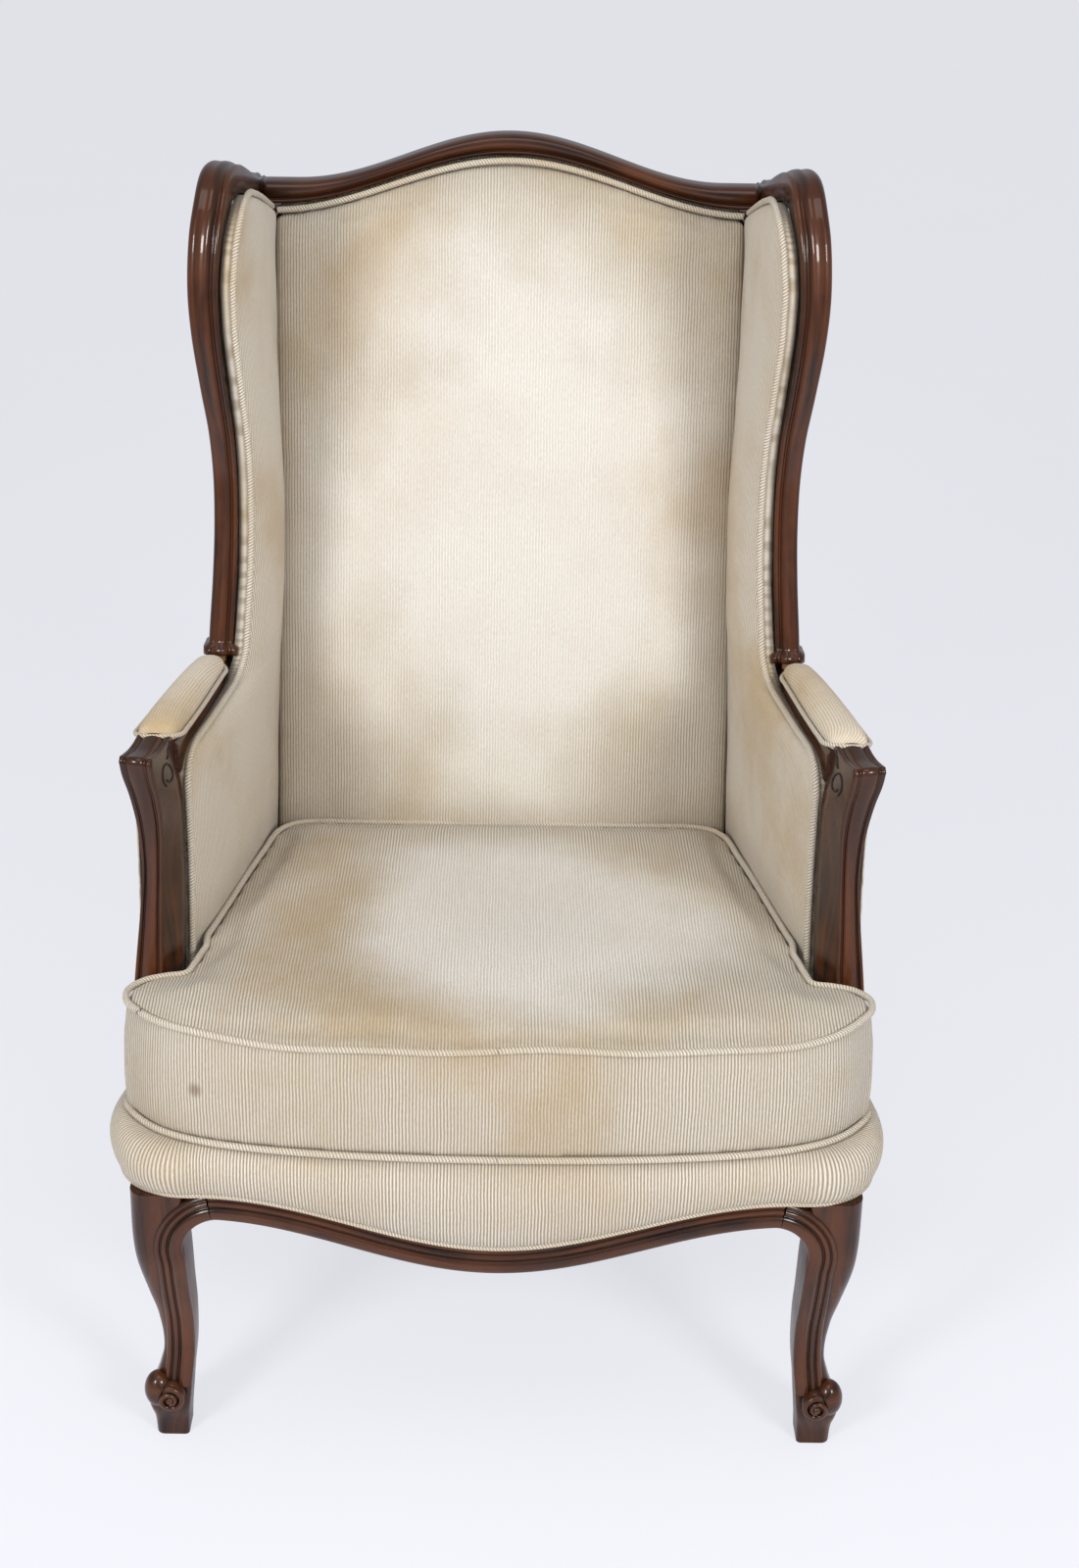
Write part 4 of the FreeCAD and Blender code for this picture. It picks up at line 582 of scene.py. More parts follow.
def joined(name, parts):
    """Join several parts into one piece."""
    bpy.ops.object.select_all(action="DESELECT")
    for part in parts:
        part.select_set(True)
    bpy.context.view_layer.objects.active = parts[0]
    bpy.ops.object.join()
    parts[0].name = parts[0].data.name = name
    return parts[0]


def lobe_rows(centre, radii, count=20):
    """Rows of a carved ball, pole to pole along the depth."""
    x, y, z = centre
    rows = []
    for rise in steps(-math.pi / 2, math.pi / 2, count):
        wide, depth, tall = radii[0] * math.cos(rise), radii[1] * math.sin(rise), radii[2] * math.cos(rise)
        rows.append([(x + wide * math.cos(turn), y + depth, z + tall * math.sin(turn))
                     for turn in steps(0, 2 * math.pi, 28)])
    return rows


def volute_rings():
    """Rings of the spiral ridge of the foot, thinner towards its eye."""
    rings = tube_rings(volute, 1, 10, (0, 1, 0))
    thick = steps(3.1, 1.8, len(rings) - 1)
    return [[numpy.array(centre) + (point - numpy.array(centre)) * size for point in ring]
            for ring, centre, size in zip(rings, volute, thick)]


bracket_rows = [[(305, y, z), (331, y, z), (331, y, 278), (305, y, 278), (305, y, z)]
                for y, z in [(-274, 216)] + [(-272 + BRACKET * (1 - math.cos(a)), 216 + BRACKET * math.sin(a))
                                             for a in steps(0.05, math.pi / 2, 10)]]
for side, label in SIDES:
    parts = [patch("leg_stem", flipped(leg_rows, side), sharp=60),
             patch("leg_band", flipped(band_rings(side_path, bracket_depth), side), sharp=60),
             patch("leg_bracket", flipped(bracket_rows, side), sharp=40),
             patch("foot_lobe", flipped(lobe_rows((315.5, -311, 53), (13.5, 14, 19)), side)),
             patch("foot_disc", flipped(lobe_rows((303.5, -315, 50), (14, 11.5, 14.5)), side)),
             patch("foot_eye", flipped(lobe_rows((303.5, -326, 50), (4, 3.4, 4)), side)),
             patch("foot_volute", flipped(volute_rings(), side))]
    show_wood(joined("front_leg_carving_" + label, parts), "front_leg_" + label)

# Side seat rails: bars between the front and the back leg. The cloth hides all but the lower
# edge, a bare lip moulded with two small beads.

side_rail_rows = []
for y in steps(-238, 158, 40):
    x = 298 - 0.1667 * y
    side_rail_rows.append([(x - 25, y, 250), (x + 1, y, 250), (x + 3.5, y, 251), (x + 5, y, 254),
                           (x + 5, y, 259), (x + 3.6, y, 262), (x + 2.4, y, 263), (x + 3.8, y, 264.5),
                           (x + 4.2, y, 268), (x + 3.0, y, 271), (x + 1.6, y, 272), (x + 2.6, y, 273.2),
                           (x + 2, y, 274.5), (x, y, 274.5), (x, y, RAIL_TOP), (x - 25, y, RAIL_TOP),
                           (x - 25, y, 250)])
for side, label in SIDES:
    show_wood(patch("side_rail_moulding_" + label, flipped(side_rail_rows, side), sharp=50),
              "side_seat_rail_" + label)

# Back legs: plain raked posts, each sawn in one piece with its leg, which sweeps back below the
# seat as a sabre leg. The cloth of the back and the sides wraps the post.

BACK_LEG = [(0, 246, 26), (90, 219.5, 27), (180, 190.5, 29), (228, 177, 30), (255, 174, 31)]
back_leg_rows = []
for z, y, depth in curve(BACK_LEG, 40, chord=1):
    back_leg_rows.append(corner_ring(234, 264, y + depth / 2, y - depth / 2, z, (4, 5, 5, 4)))
for z in steps(275, 1046, 20):
    rear = back_y(z) - 3
    front = rear - 32 if z > 305 else 158 + (rear - 32 - 158) * max(0, (z - 295) / 10)
    back_leg_rows.append(corner_ring(234, 264, rear, front, z, (4, 5, 5, 4)))
for side, label in SIDES:
    show_wood(patch("back_leg_sabre_" + label, flipped(back_leg_rows, side), sharp=50), "back_leg_" + label)

# Seat deck and dust cover: jute over the springs, a felt pad, and a corduroy deck cover tacked
# to the rails; black cambric tacked below to keep the dust in.


def woven(name, light, dark, thread):
    """Plain woven cloth: threads of the given width in mm over and under, matt."""
    material, shader = blank(name, Roughness=0.9)
    place = add(material, "UVMap")
    split = add(material, "SeparateXYZ", {0: place})
    waves = []
    for axis in (0, 1):
        phase = add(material, "Math", {0: split.outputs[axis], 1: math.pi * 1000 / thread},
                    operation="MULTIPLY")
        waves.append(add(material, "Math", {0: phase}, operation="SINE"))
    weave = add(material, "Math", {0: waves[0], 1: waves[1]}, operation="MULTIPLY")
    height = add(material, "Math", {0: weave, 1: 0.5, 2: 0.5}, operation="MULTIPLY_ADD")
    tone = add(material, "Mix", {0: height, 6: linear(dark), 7: linear(light)}, data_type="RGBA")
    material.node_tree.links.new(tone.outputs[2], shader.inputs["Base Color"])
    bump = add(material, "Bump", {"Height": height, "Distance": 0.0004, "Strength": 0.6})
    material.node_tree.links.new(bump.outputs[0], shader.inputs["Normal"])
    return material


def ribbed(name, worn=None, soil=0.35, rib=1.0, valley_with_shade="b5a993", spill=None):
    """Ivory cotton corduroy, 3 mm wales: pale rubbed crowns, darker hollows between them carrying painted
    shade, tan age stains.

    The wales run where u of the cloth is even. worn is the centre and the half sizes, in m, of the place
    where sitting has rubbed the pile pale and flat and where a pool of light is painted, the cloth round it
    painted darker as shade, and spill that of a small old stain.
    """
    material, shader = blank(name, Roughness=0.85, Sheen_Weight=0.22, Sheen_Roughness=0.45,
                             Specular_IOR_Level=0.25)
    links = material.node_tree.links
    cloth = add(material, "UVMap")
    place = add(material, "TexCoord")
    split = add(material, "SeparateXYZ", {0: cloth})
    drift = add(material, "TexNoise", {"Vector": place.outputs["Object"], "Scale": 30, "Detail": 3})
    shifted = add(material, "Math", {0: drift, 1: 0.0022, 2: split}, operation="MULTIPLY_ADD")
    phase = add(material, "Math", {0: shifted, 1: 2 * math.pi / 0.003}, operation="MULTIPLY")
    wave = add(material, "Math", {0: phase}, operation="SINE")
    crown = add(material, "MapRange", {"Value": wave, "From Min": -1.0, "From Max": 0.35},
                interpolation_type="SMOOTHSTEP")
    pile_scale = add(material, "Mapping", {"Vector": cloth, "Scale": (900, 240, 1)})
    pile = add(material, "TexNoise", {"Vector": pile_scale, "Scale": 1, "Detail": 3})
    patchy = add(material, "TexNoise", {"Vector": place.outputs["Object"], "Scale": 4.2, "Detail": 5,
                                        "Roughness": 0.62})
    spots = add(material, "TexNoise", {"Vector": place.outputs["Object"], "Scale": 17, "Detail": 5})
    stain = add(material, "MapRange", {"Value": patchy, "From Min": 0.42, "From Max": 0.72, "To Max": 1.0},
                interpolation_type="SMOOTHSTEP")
    spot = add(material, "MapRange", {"Value": spots, "From Min": 0.55, "From Max": 0.8, "To Max": 0.55})
    both = add(material, "Math", {0: stain, 1: spot}, operation="MAXIMUM")
    rubbed = None
    # The worn area is rubbed pale by sitting and also painted as a pool of light; round it the cloth is
    # painted darker as shade.
    if worn:
        centre, half = worn
        nearer = add(material, "VectorMath", {0: place.outputs["Object"], 1: centre}, operation="SUBTRACT")
        scaled = add(material, "VectorMath", {0: nearer, 1: half}, operation="DIVIDE")
        wander = add(material, "TexNoise", {"Vector": place.outputs["Object"], "Scale": 6, "Detail": 3})
        length = add(material, "VectorMath", {0: scaled}, operation="LENGTH")
        edge = add(material, "Math", {0: wander, 1: 0.9, 2: length.outputs["Value"]},
                   operation="MULTIPLY_ADD")
        rubbed = add(material, "MapRange", {"Value": edge, "From Min": 1.0, "From Max": 1.5, "To Min": 1.0,
                                            "To Max": 0.0}, interpolation_type="SMOOTHSTEP")
    # The colour between the wales is painted shade: darker in the hollows of the ribs than on their crowns.
    wales_with_valley_shade = add(material, "Mix", {0: crown, 6: linear(valley_with_shade), 7: linear("dad1c2")}, data_type="RGBA")
    soiled_share = add(material, "Math", {0: both, 1: soil}, operation="MULTIPLY")
    soiled = add(material, "Mix", {0: soiled_share, 6: wales_with_valley_shade, 7: linear("b89f78")}, data_type="RGBA")
    last = soiled
    if rubbed:
        rub_share = add(material, "Math", {0: rubbed, 1: 0.55}, operation="MULTIPLY")
        last = add(material, "Mix", {0: rub_share, 6: soiled, 7: linear("dedcd7")}, data_type="RGBA")
    if spill:
        away = add(material, "VectorMath", {0: place.outputs["Object"], 1: spill}, operation="DISTANCE")
        dab = add(material, "MapRange", {"Value": away.outputs["Value"], "From Min": 0.003, "From Max": 0.009,
                                         "To Min": 0.55, "To Max": 0.0})
        last = add(material, "Mix", {0: dab, 6: last, 7: linear("6f4f2e")}, data_type="RGBA")
    piled = add(material, "MapRange", {"Value": pile, "From Min": 0.3, "From Max": 0.7, "To Min": 0.9,
                                       "To Max": 1.06})
    # Painted light and shade as well as flattened pile: outside the worn area the tone drops to 0.89, inside
    # it rises to 1.07.
    if rubbed:
        nap_and_painted_light = add(material, "MapRange", {"Value": rubbed, "To Min": 0.89, "To Max": 1.07})
        piled = add(material, "Math", {0: piled, 1: nap_and_painted_light}, operation="MULTIPLY")
    # Painted shade, with some dust in the seams: the cloth is darkened within 5 cm of creases and of
    # neighbouring parts.
    crease = add(material, "AmbientOcclusion", {"Distance": 0.05}, samples=6)
    crease_shade_and_dust = add(material, "MapRange", {"Value": crease.outputs["AO"], "From Min": 0.2, "From Max": 0.85,
                                       "To Min": 0.38, "To Max": 0.0})
    dust_and_painted_crease_shade = add(material, "Mix", {0: crease_shade_and_dust, 6: last, 7: linear("8d7a62")}, data_type="RGBA")
    toned = add(material, "VectorMath", {0: dust_and_painted_crease_shade, "Scale": piled}, operation="SCALE")
    links.new(toned.outputs[0], shader.inputs["Base Color"])
    relief = add(material, "Math", {0: pile, 1: 0.35, 2: crown}, operation="MULTIPLY_ADD")
    bump = add(material, "Bump", {"Height": relief, "Distance": 0.0009, "Strength": 0.55 * rib})
    links.new(bump.outputs[0], shader.inputs["Normal"])
    return material


def upholster(piece, material, body="chair", nodes=()):
    """Cover a soft piece, let it ride, and set it in place of its CAD nodes."""
    piece.data.materials.clear()
    piece.data.materials.append(material)
    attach(piece, body)
    if nodes:
        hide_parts(*nodes)
    return piece


def thickened(piece, thick):
    """Give a sheet its real thickness in mm, half of it to each side."""
    wall = piece.modifiers.new("thickness", "SOLIDIFY")
    wall.thickness = thick * MM
    wall.offset = 0
    bpy.ops.object.modifier_apply(modifier=wall.name)
    return piece


DECK = [(-283, 262), (-262, 296), (-229, 301), (-100, 284), (0, 269), (157, 237)]
DUST = [(-291, 240), (-268, 276), (-228, 276), (-220, 328), (-100, 308), (0, 292), (158, 265), (160, 228),
        (180, 228)]
deck_curve = [(y, half) for y, half in curve(DECK, 30, chord=2)]
corduroy = ribbed("ivory corduroy, aged")
jute = woven("jute burlap", "a98a5c", "6f5433", 1.6)
cambric = woven("black cambric", "1c1b1d", "0d0d0e", 0.8)
# Name, outline as y and half width, the same drawn smooth, height, thickness, cloth, slot, CAD
# nodes, flat size and what it lies on.
LEVEL_SHEETS = [
    ("deck_cover_cloth", DECK, deck_curve, 329, 1.8, corduroy, "ivory_corduroy", ("deck_cover", "deck_pad"),
     (0.604, 0.442), "seat_burlap_cloth"),
    ("seat_burlap_cloth", DECK, deck_curve, 296, 1.2, jute, "jute", ("seat_burlap",),
     (0.604, 0.442), "seat_springs"),
    ("dust_cover_cloth", DUST, DUST, 249.2, 0.9, cambric, "black_cambric", ("dust_cover",),
     (0.66, 0.472), "side_rail_moulding_right")]
for name, outline, edge, z, thick, cloth, slot, nodes, flat, under in LEVEL_SHEETS:
    rows = [[(x, y, z) for x in steps(-half, half, 24)] for y, half in edge]
    sheet = patch(name, rows, lay=lambda point: (point[0], point[1]), closed=False)
    upholster(thickened(sheet, thick), cloth, nodes=nodes)

# Back webbing: jute straps tacked level across the back posts and upright over the rails,
# woven through each other under the stuffing.

STRAP_ACROSS = (-25, 0, 25)
strap_parts = []
for level in steps(420, 980, 4):
    rows = [[(x, back_y(level + rise) - 35.7, level + rise) for x in steps(-250, 250, 30)]
            for rise in STRAP_ACROSS]
    strap_parts.append(patch("strap", rows, lay=lambda point: (point[0], point[2]), closed=False))
for middle in steps(-165, 165, 3):
    rows = [[(middle + across, back_y(z) - 37.4, z) for across in STRAP_ACROSS] for z in steps(352, 1050, 40)]
    strap_parts.append(patch("strap", rows, lay=lambda point: (point[0], point[2]), closed=False))
webbing = thickened(joined("back_webbing_straps", strap_parts), 1.2)
upholster(webbing, jute, nodes=("back_webbing",))

# Inside back: one crowned pad of felt and hair under corduroy, the wales upright, with a corded
# welt of the same cloth along the crest rail.

BACK_HALF = 238
PAD_FOOT = 332
BACK_FRONT = [(332, 111), (430, 132), (600, 168.6), (800, 211.7), (950, 244), (1040, 263.4), (1075, 273),
              (1096, 286)]
BACK_CROWN = 9


def back_front(z):
    return between(BACK_FRONT, z)


def ripple(a, b, seed):
    """Slight unevenness of hand-laid stuffing, within one mm or so."""
    broad = math.sin(a * 0.031 + seed) * math.sin(b * 0.027 + 1.7 * seed)
    return broad + 0.5 * math.sin(a * 0.071 + b * 0.05 + seed)


def back_face(x, z, top):
    """Front of the pad: crowned across, rolled over at the sides and under the crest."""
    side = abs(x) / BACK_HALF
    roll = 3.5 * side ** 14 + 9 * max(0, 1 - (top - z) / 26) ** 2
    crown = 4 * (1 - side ** 2) * math.sin(math.pi * min(1, max(0, (z - PAD_FOOT) / (top - PAD_FOOT)))) ** 0.8
    return back_front(z) + BACK_CROWN * side ** 2.2 + roll - crown - 0.7 * ripple(x, z, 2)


def points_of(piece):
    """Corner points of a piece in mm, one row each."""
    values = numpy.empty(len(piece.data.vertices) * 3)
    piece.data.vertices.foreach_get("co", values)
    return values.reshape(-1, 3) / MM


def set_points(piece, points):
    piece.data.vertices.foreach_set("co", (points * MM).ravel())
    piece.data.update()


def stuffed(piece, voxel, allowed):
    """Remesh a soft form, swell it as cloth round its stuffing, and hold it at what is allowed.

    allowed gives, for each point, how far in mm the stuffing may push it out; it pushes each
    point at least half as far, and lets the cloth creep 1.5 mm sideways.
    """
    bpy.ops.object.select_all(action="DESELECT")
    piece.select_set(True)
    bpy.context.view_layer.objects.active = piece
    grain = piece.modifiers.new("even mesh", "REMESH")
    grain.mode = "VOXEL"
    grain.voxel_size = voxel * MM
    grain.use_smooth_shade = True
    bpy.ops.object.modifier_apply(modifier=grain.name)
    even = piece.modifiers.new("even edges", "SMOOTH")
    even.factor = 0.5
    even.iterations = 6
    bpy.ops.object.modifier_apply(modifier=even.name)
    start = points_of(piece)
    normals = numpy.empty(len(start) * 3)
    piece.data.vertices.foreach_get("normal", normals)
    normals = normals.reshape(-1, 3)
    limit = allowed(start)
    cloth = piece.modifiers.new("stuffed cloth", "CLOTH")
    cloth.settings.quality = 4
    cloth.settings.use_pressure = True
    cloth.settings.uniform_pressure_force = 4
    cloth.settings.effector_weights.gravity = 0
    cloth.point_cache.frame_start = 1
    cloth.point_cache.frame_end = 20
    for frame_number in range(1, 21):
        bpy.context.scene.frame_set(frame_number)
    swollen = piece.evaluated_get(bpy.context.evaluated_depsgraph_get())
    values = numpy.empty(len(start) * 3)
    swollen.data.vertices.foreach_get("co", values)
    moved = values.reshape(-1, 3) / MM - start
    piece.modifiers.remove(cloth)
    bpy.context.scene.frame_set(1)
    push = (moved * normals).sum(axis=1)
    creep = moved - normals * push[:, None]
    reach = numpy.maximum(numpy.linalg.norm(creep, axis=1), 1e-6)
    creep *= (numpy.minimum(reach, 1.5) / reach)[:, None]
    set_points(piece, start + normals * numpy.clip(push, 0.5 * limit, limit)[:, None] + creep)
    finer = piece.modifiers.new("smooth cloth", "SUBSURF")
    finer.levels = 1
    bpy.ops.object.modifier_apply(modifier=finer.name)
    bpy.ops.object.shade_smooth()
    return piece


def lay_cloth(piece, place):
    """Lay the cloth on a piece: place turns its corner points and their normals into u and v in mm."""
    mesh = piece.data
    corner = numpy.empty(len(mesh.loops), int)
    mesh.loops.foreach_get("vertex_index", corner)
    facing = numpy.empty(len(mesh.polygons) * 3)
    mesh.polygons.foreach_get("normal", facing)
    sides = numpy.empty(len(mesh.polygons), int)
    mesh.polygons.foreach_get("loop_total", sides)
    u, v = place(points_of(piece)[corner], numpy.repeat(facing.reshape(-1, 3), sides, axis=0))
    layer = mesh.uv_layers[0] if mesh.uv_layers else mesh.uv_layers.new(name="UVMap")
    layer.data.foreach_set("uv", (numpy.stack([u, v], axis=1) * MM).ravel())


across_back = [BACK_HALF * math.sin(turn) for turn in steps(-math.pi / 2, math.pi / 2, 70)]
back_rows = []
for share in [0.0, 0.0] + steps(0.004, 1, 110) + [1.0]:
    front, rear = [], []
    for x in across_back:
        top = crest_edge(x) - 8.5
        z = PAD_FOOT + share * (top - PAD_FOOT)
        front.append([x, back_face(x, z, top), z])
        rear.append([x, back_y(z) - 39.5, z])
    back_rows.append(front + rear[::-1] + [front[0]])
for row in (back_rows[0], back_rows[-1]):
    count = len(across_back)
    for index in range(count):
        row[index] = list(row[2 * count - 1 - index])
    row[-1] = row[0]
# The pale middle of the back is partly wear and partly painted light: a painted pool of light between the
# painted shadows of the wings.
back_cloth = ribbed("ivory corduroy of the back, rubbed pale in the middle",
                    worn=((0, 0.2, 0.74), (0.25, 1, 0.31)), soil=0.6)
back_pad = patch("back_pad_cover", back_rows)


def back_allowed(points):
    """Only the front face of the back may swell, and least along its edges."""
    inset = numpy.minimum(BACK_HALF - numpy.abs(points[:, 0]), 2 * numpy.maximum(1075 - points[:, 2], 0))
    depth = points[:, 1] - numpy.interp(points[:, 2], *numpy.array(BACK_FRONT).T) - BACK_CROWN
    return numpy.where(depth < 6, 0.3 + 7 * (1 - numpy.exp(-numpy.clip(inset, 0, 300) / 60)), 0.3)


stuffed(back_pad, 6, back_allowed)
lay_cloth(back_pad, lambda points, facing: (points[:, 0], points[:, 2]))
upholster(back_pad, back_cloth, nodes=("back_padding", "back_cover_inside"))

WELT = 3.2
WALE_LEAN = 9.855


def welt(name, points, count, radius=WELT, spin=(0, 0, 1)):
    """Corded welt along a smooth path; its wales lean 10 mm along the cord in each turn."""
    rings = tube_rings(curve(points, count), radius, 14, spin)
    piece = patch(name, rings)
    layer = piece.data.uv_layers[0].data
    values = numpy.empty(len(layer) * 2)
    layer.foreach_get("uv", values)
    values = values.reshape(-1, 2)
    lean = WALE_LEAN / (2 * math.pi * radius)
    turned = numpy.stack([values[:, 1] + lean * values[:, 0], values[:, 0]], axis=1)
    layer.foreach_set("uv", turned.ravel())
    return piece


# The welt's hollows between the wales are painted darker as shade.
welt_cloth = ribbed("corduroy over piping cord", soil=0.5, rib=1.3, valley_with_shade="a5977f")
crest_points = []
for x in steps(-235, 235, 40):
    z = crest_edge(x) - WELT - 1.2
    crest_points.append((x, back_y(z) - CREST_SET - CREST_DEPTH - 4.5, z))
upholster(welt("back_welt_cord", crest_points, 260, spin=(0, 1, 0)), welt_cloth,
          nodes=("back_welt",))

# Inside sides: one length of corduroy a side over a felt pad, from the ear down the wing, along
# the arm and down to the seat, edged by a corded welt against the show-wood.

FRONT_LIMIT = -190
SIDE_WALL = BACK_HALF + 0.5
WING_PAD = 12
SIDE_PUFF = 13
ARM_ZONE = 634
WING_ZONE = 656
# Edge y and z from the seat up the arm post, along the arm, up the wing and over the ear to the
# crest, and the height where the same thread meets the crease of the back.
SIDE_EDGE = [(-174, 332, 332), (-171, 350, 345), (-161, 400, 385), (-153, 440, 417), (-146, 500, 465),
             (-143, 540, 497), (-142, 585, 528), (-139, 612, 545), (-122, 627, 560), (-60, 630.5, 590),
             (0, 632.5, 618), (28, 637, 636), (45, 650, 655), (56, 674, 685), (63, 705, 718), (72, 745, 756),
             (79, 800, 803), (80, 850, 846), (74, 905, 890), (68, 960, 930), (68, 1010, 966), (75, 1050, 990),
             (92, 1074, 1003), (125, 1084, 1012), (165, 1078, 1019), (215, 1066, 1026), (258, 1053, 1034),
             (284, 1045, 1040)]


def crease(z):
    return back_front(z) + BACK_CROWN


wing_faces = sorted((z, x - width / 2, x + width / 2, y - depth / 2) for x, y, z, width, depth in WING)


def wing_inner(z):
    return between([(face[0], face[1]) for face in wing_faces], z)


def wing_front(z):
    return between([(face[0], face[3]) for face in wing_faces], z)


def side_plane(y, z):
    """Inner face of the side between the crease and the front limit, x."""
    low = 286 + 0.175 * (-149 - FRONT_LIMIT)
    level = max(z, WING_ZONE)
    high = SIDE_WALL + (wing_inner(level) - WING_PAD - SIDE_WALL) * (crease(level) - FRONT_LIMIT) / (
        crease(level) - wing_front(level))
    share = max(0, min(1, (z - ARM_ZONE) / (WING_ZONE - ARM_ZONE)))
    reach = low + (high - low) * share
    return SIDE_WALL + (reach - SIDE_WALL) * max((crease(z) - y) / (crease(z) - FRONT_LIMIT), 0)


side_edge = curve([(0, y, z, level) for y, z, level in SIDE_EDGE], 170)
side_rows = []
for index, (_, edge_y, edge_z, level) in enumerate(side_edge):
    inner, outer = [], []
    end = index in (0, len(side_edge) - 1)
    fullness = math.sin(math.pi * min(1, index / (len(side_edge) - 1))) ** 0.5
    for share in [0.5 - 0.5 * math.cos(math.pi * s) for s in steps(0, 1, 44)]:
        start_y = crease(level) + 14
        y = start_y + (edge_y - start_y) * share
        z = level + (edge_z - level) * share
        low = max(0, 1 - (z - PAD_FOOT) / 150)
        puff = SIDE_PUFF * (1 - low) * math.sin(math.pi * share) ** 0.7 * fullness
        puff += 4.5 * math.exp(-((z - 720) / 110) ** 2) * (1 - share) ** 0.5
        roll = 3 * share ** 14
        tuck = 0.5 * (1 - share) ** 14
        x = side_plane(y, z) - puff + roll + tuck - 0.5 * (1 - low) * ripple(y, z, 5)
        inner.append([x, y, z])
        outer.append([x + (0 if end else 9), y, z])
    side_rows.append(inner + outer[::-1] + [inner[0]])
side_cloth = ribbed("ivory corduroy of the sides", soil=0.85)
side_welt_points = []
edge_only = side_edge[:, 1:3]
edge_way = numpy.gradient(edge_only, axis=0)
for (y, z), (run_y, run_z) in zip(edge_only, edge_way):
    size = math.hypot(run_y, run_z)
    place_y, place_z = y - run_z / size * 2.4, z + run_y / size * 2.4
    face = side_plane(place_y, min(max(place_z, PAD_FOOT), 1090))
    side_welt_points.append((face + 0.2, place_y, place_z))
for side, label in SIDES:
    pad = patch("side_pad_cover_" + label, flipped(side_rows, side),
                lay=lambda point: (point[1] * 1.015, point[2]))
    upholster(pad, side_cloth,
              nodes=("side_padding_" + label, "side_cover_inside_" + label))
    cord = welt("side_welt_cord_" + label, flipped([side_welt_points], side)[0][::3], 420, spin=(1, 0, 0))
    upholster(cord, welt_cloth, nodes=("side_welt_" + label,))

# Arm pads: small stuffed manchettes on the arm rails, the cloth drawn over horsehair and edged
# with a thin welt.

ARM_PAD = [(-148, 13.5, 6), (-144, 16.5, 11), (-136, 18.5, 15), (-120, 19.2, 17.5), (-70, 18.5, 19.5),
           (-20, 16.5, 20), (15, 15, 18), (29, 14, 16), (37, 11.5, 12), (41, 6, 6)]


def arm_middle(y):
    return (arm_inner(y) + arm_outer(y)) / 2 + between([(-150, 0), (40, 2.5)], y)


arm_stations = curve(ARM_PAD, 70, chord=1)
arm_pad_rows = []
for y, half, height in arm_stations:
    middle = arm_middle(y)
    ring = []
    for turn in steps(0, math.pi, 26):
        across, rise = math.cos(turn), math.sin(turn)
        ring.append((middle + half * math.copysign(abs(across) ** 0.8, across), y,
                     ARM_TOP + 0.8 + height * rise ** 0.72))
    ring += [(middle + half * share, y, ARM_TOP + 0.4) for share in (-0.6, 0, 0.6)]
    arm_pad_rows.append(ring + [ring[0]])
# The pads' hollows between the wales carry a little painted shade.
pad_cloth = ribbed("ivory corduroy of the arm pads, soiled by hands", soil=1.0, rib=0.45, valley_with_shade="c3ae8c")
pad_welt_points = ([(arm_middle(y) - half - 2.4, y, ARM_TOP + 3) for y, half, _ in arm_stations[::-6]]
                   + [(arm_middle(-150) + across, -150.5 + rise, ARM_TOP + 6) for across, rise in
                      ((-9, 0), (0, -0.8), (9, 0))]
                   + [(arm_middle(y) + half + 2.4, y, ARM_TOP + 3) for y, half, _ in arm_stations[4::6]])
for side, label in SIDES:
    pad = patch("arm_pad_cover_cloth_" + label, flipped(arm_pad_rows, side))
    upholster(pad, pad_cloth, nodes=("arm_pad_cover_" + label, "arm_pad_stuffing_" + label))
    cord = welt("arm_pad_welt_cord_" + label, flipped([pad_welt_points], side)[0], 150, 2.2)
    upholster(cord, welt_cloth, nodes=("arm_pad_welt_" + label,))

# Outside covers: corduroy drawn flat over the outside of the wings, arms and back, turned under
# and slip-stitched at the posts.

OUTSIDE_EDGE = [(-179, 281, 281), (-177, 320, 320), (-165, 400, 392), (-153, 480, 462), (-147, 540, 515),
                (-146, 590, 552), (-142, 606, 566), (-100, 609, 590), (40, 610, 622), (85, 618, 640),
                (97, 668, 682), (104, 740, 742), (112, 800, 800), (114, 850, 845), (108, 900, 888),
                (100, 960, 935), (100, 1010, 975), (108, 1045, 1005), (130, 1060, 1022), (220, 1056, 1035),
                (330, 1046, 1044)]


def outside_plane(y, z):
    """Outer face of the side, from the back post to the arm post and the wing, x."""
    rear_y = back_y(z) - 1
    low = 298 - 0.1667 * FRONT_LIMIT + 9
    edge = between([(face[0], face[2]) for face in wing_faces], z) - 1.5
    wing_x = 264.4 + (edge - 264.4) * (rear_y - FRONT_LIMIT) / (rear_y - 105)
    share = max(0, min(1, (z - 600) / 56))
    front = low + (wing_x - low) * share
    across = max(0, min(1, (rear_y - y) / (rear_y - FRONT_LIMIT)))
    return 264.4 + (front - 264.4) * across + (5 - 4 * share) * 4 * across * (1 - across)


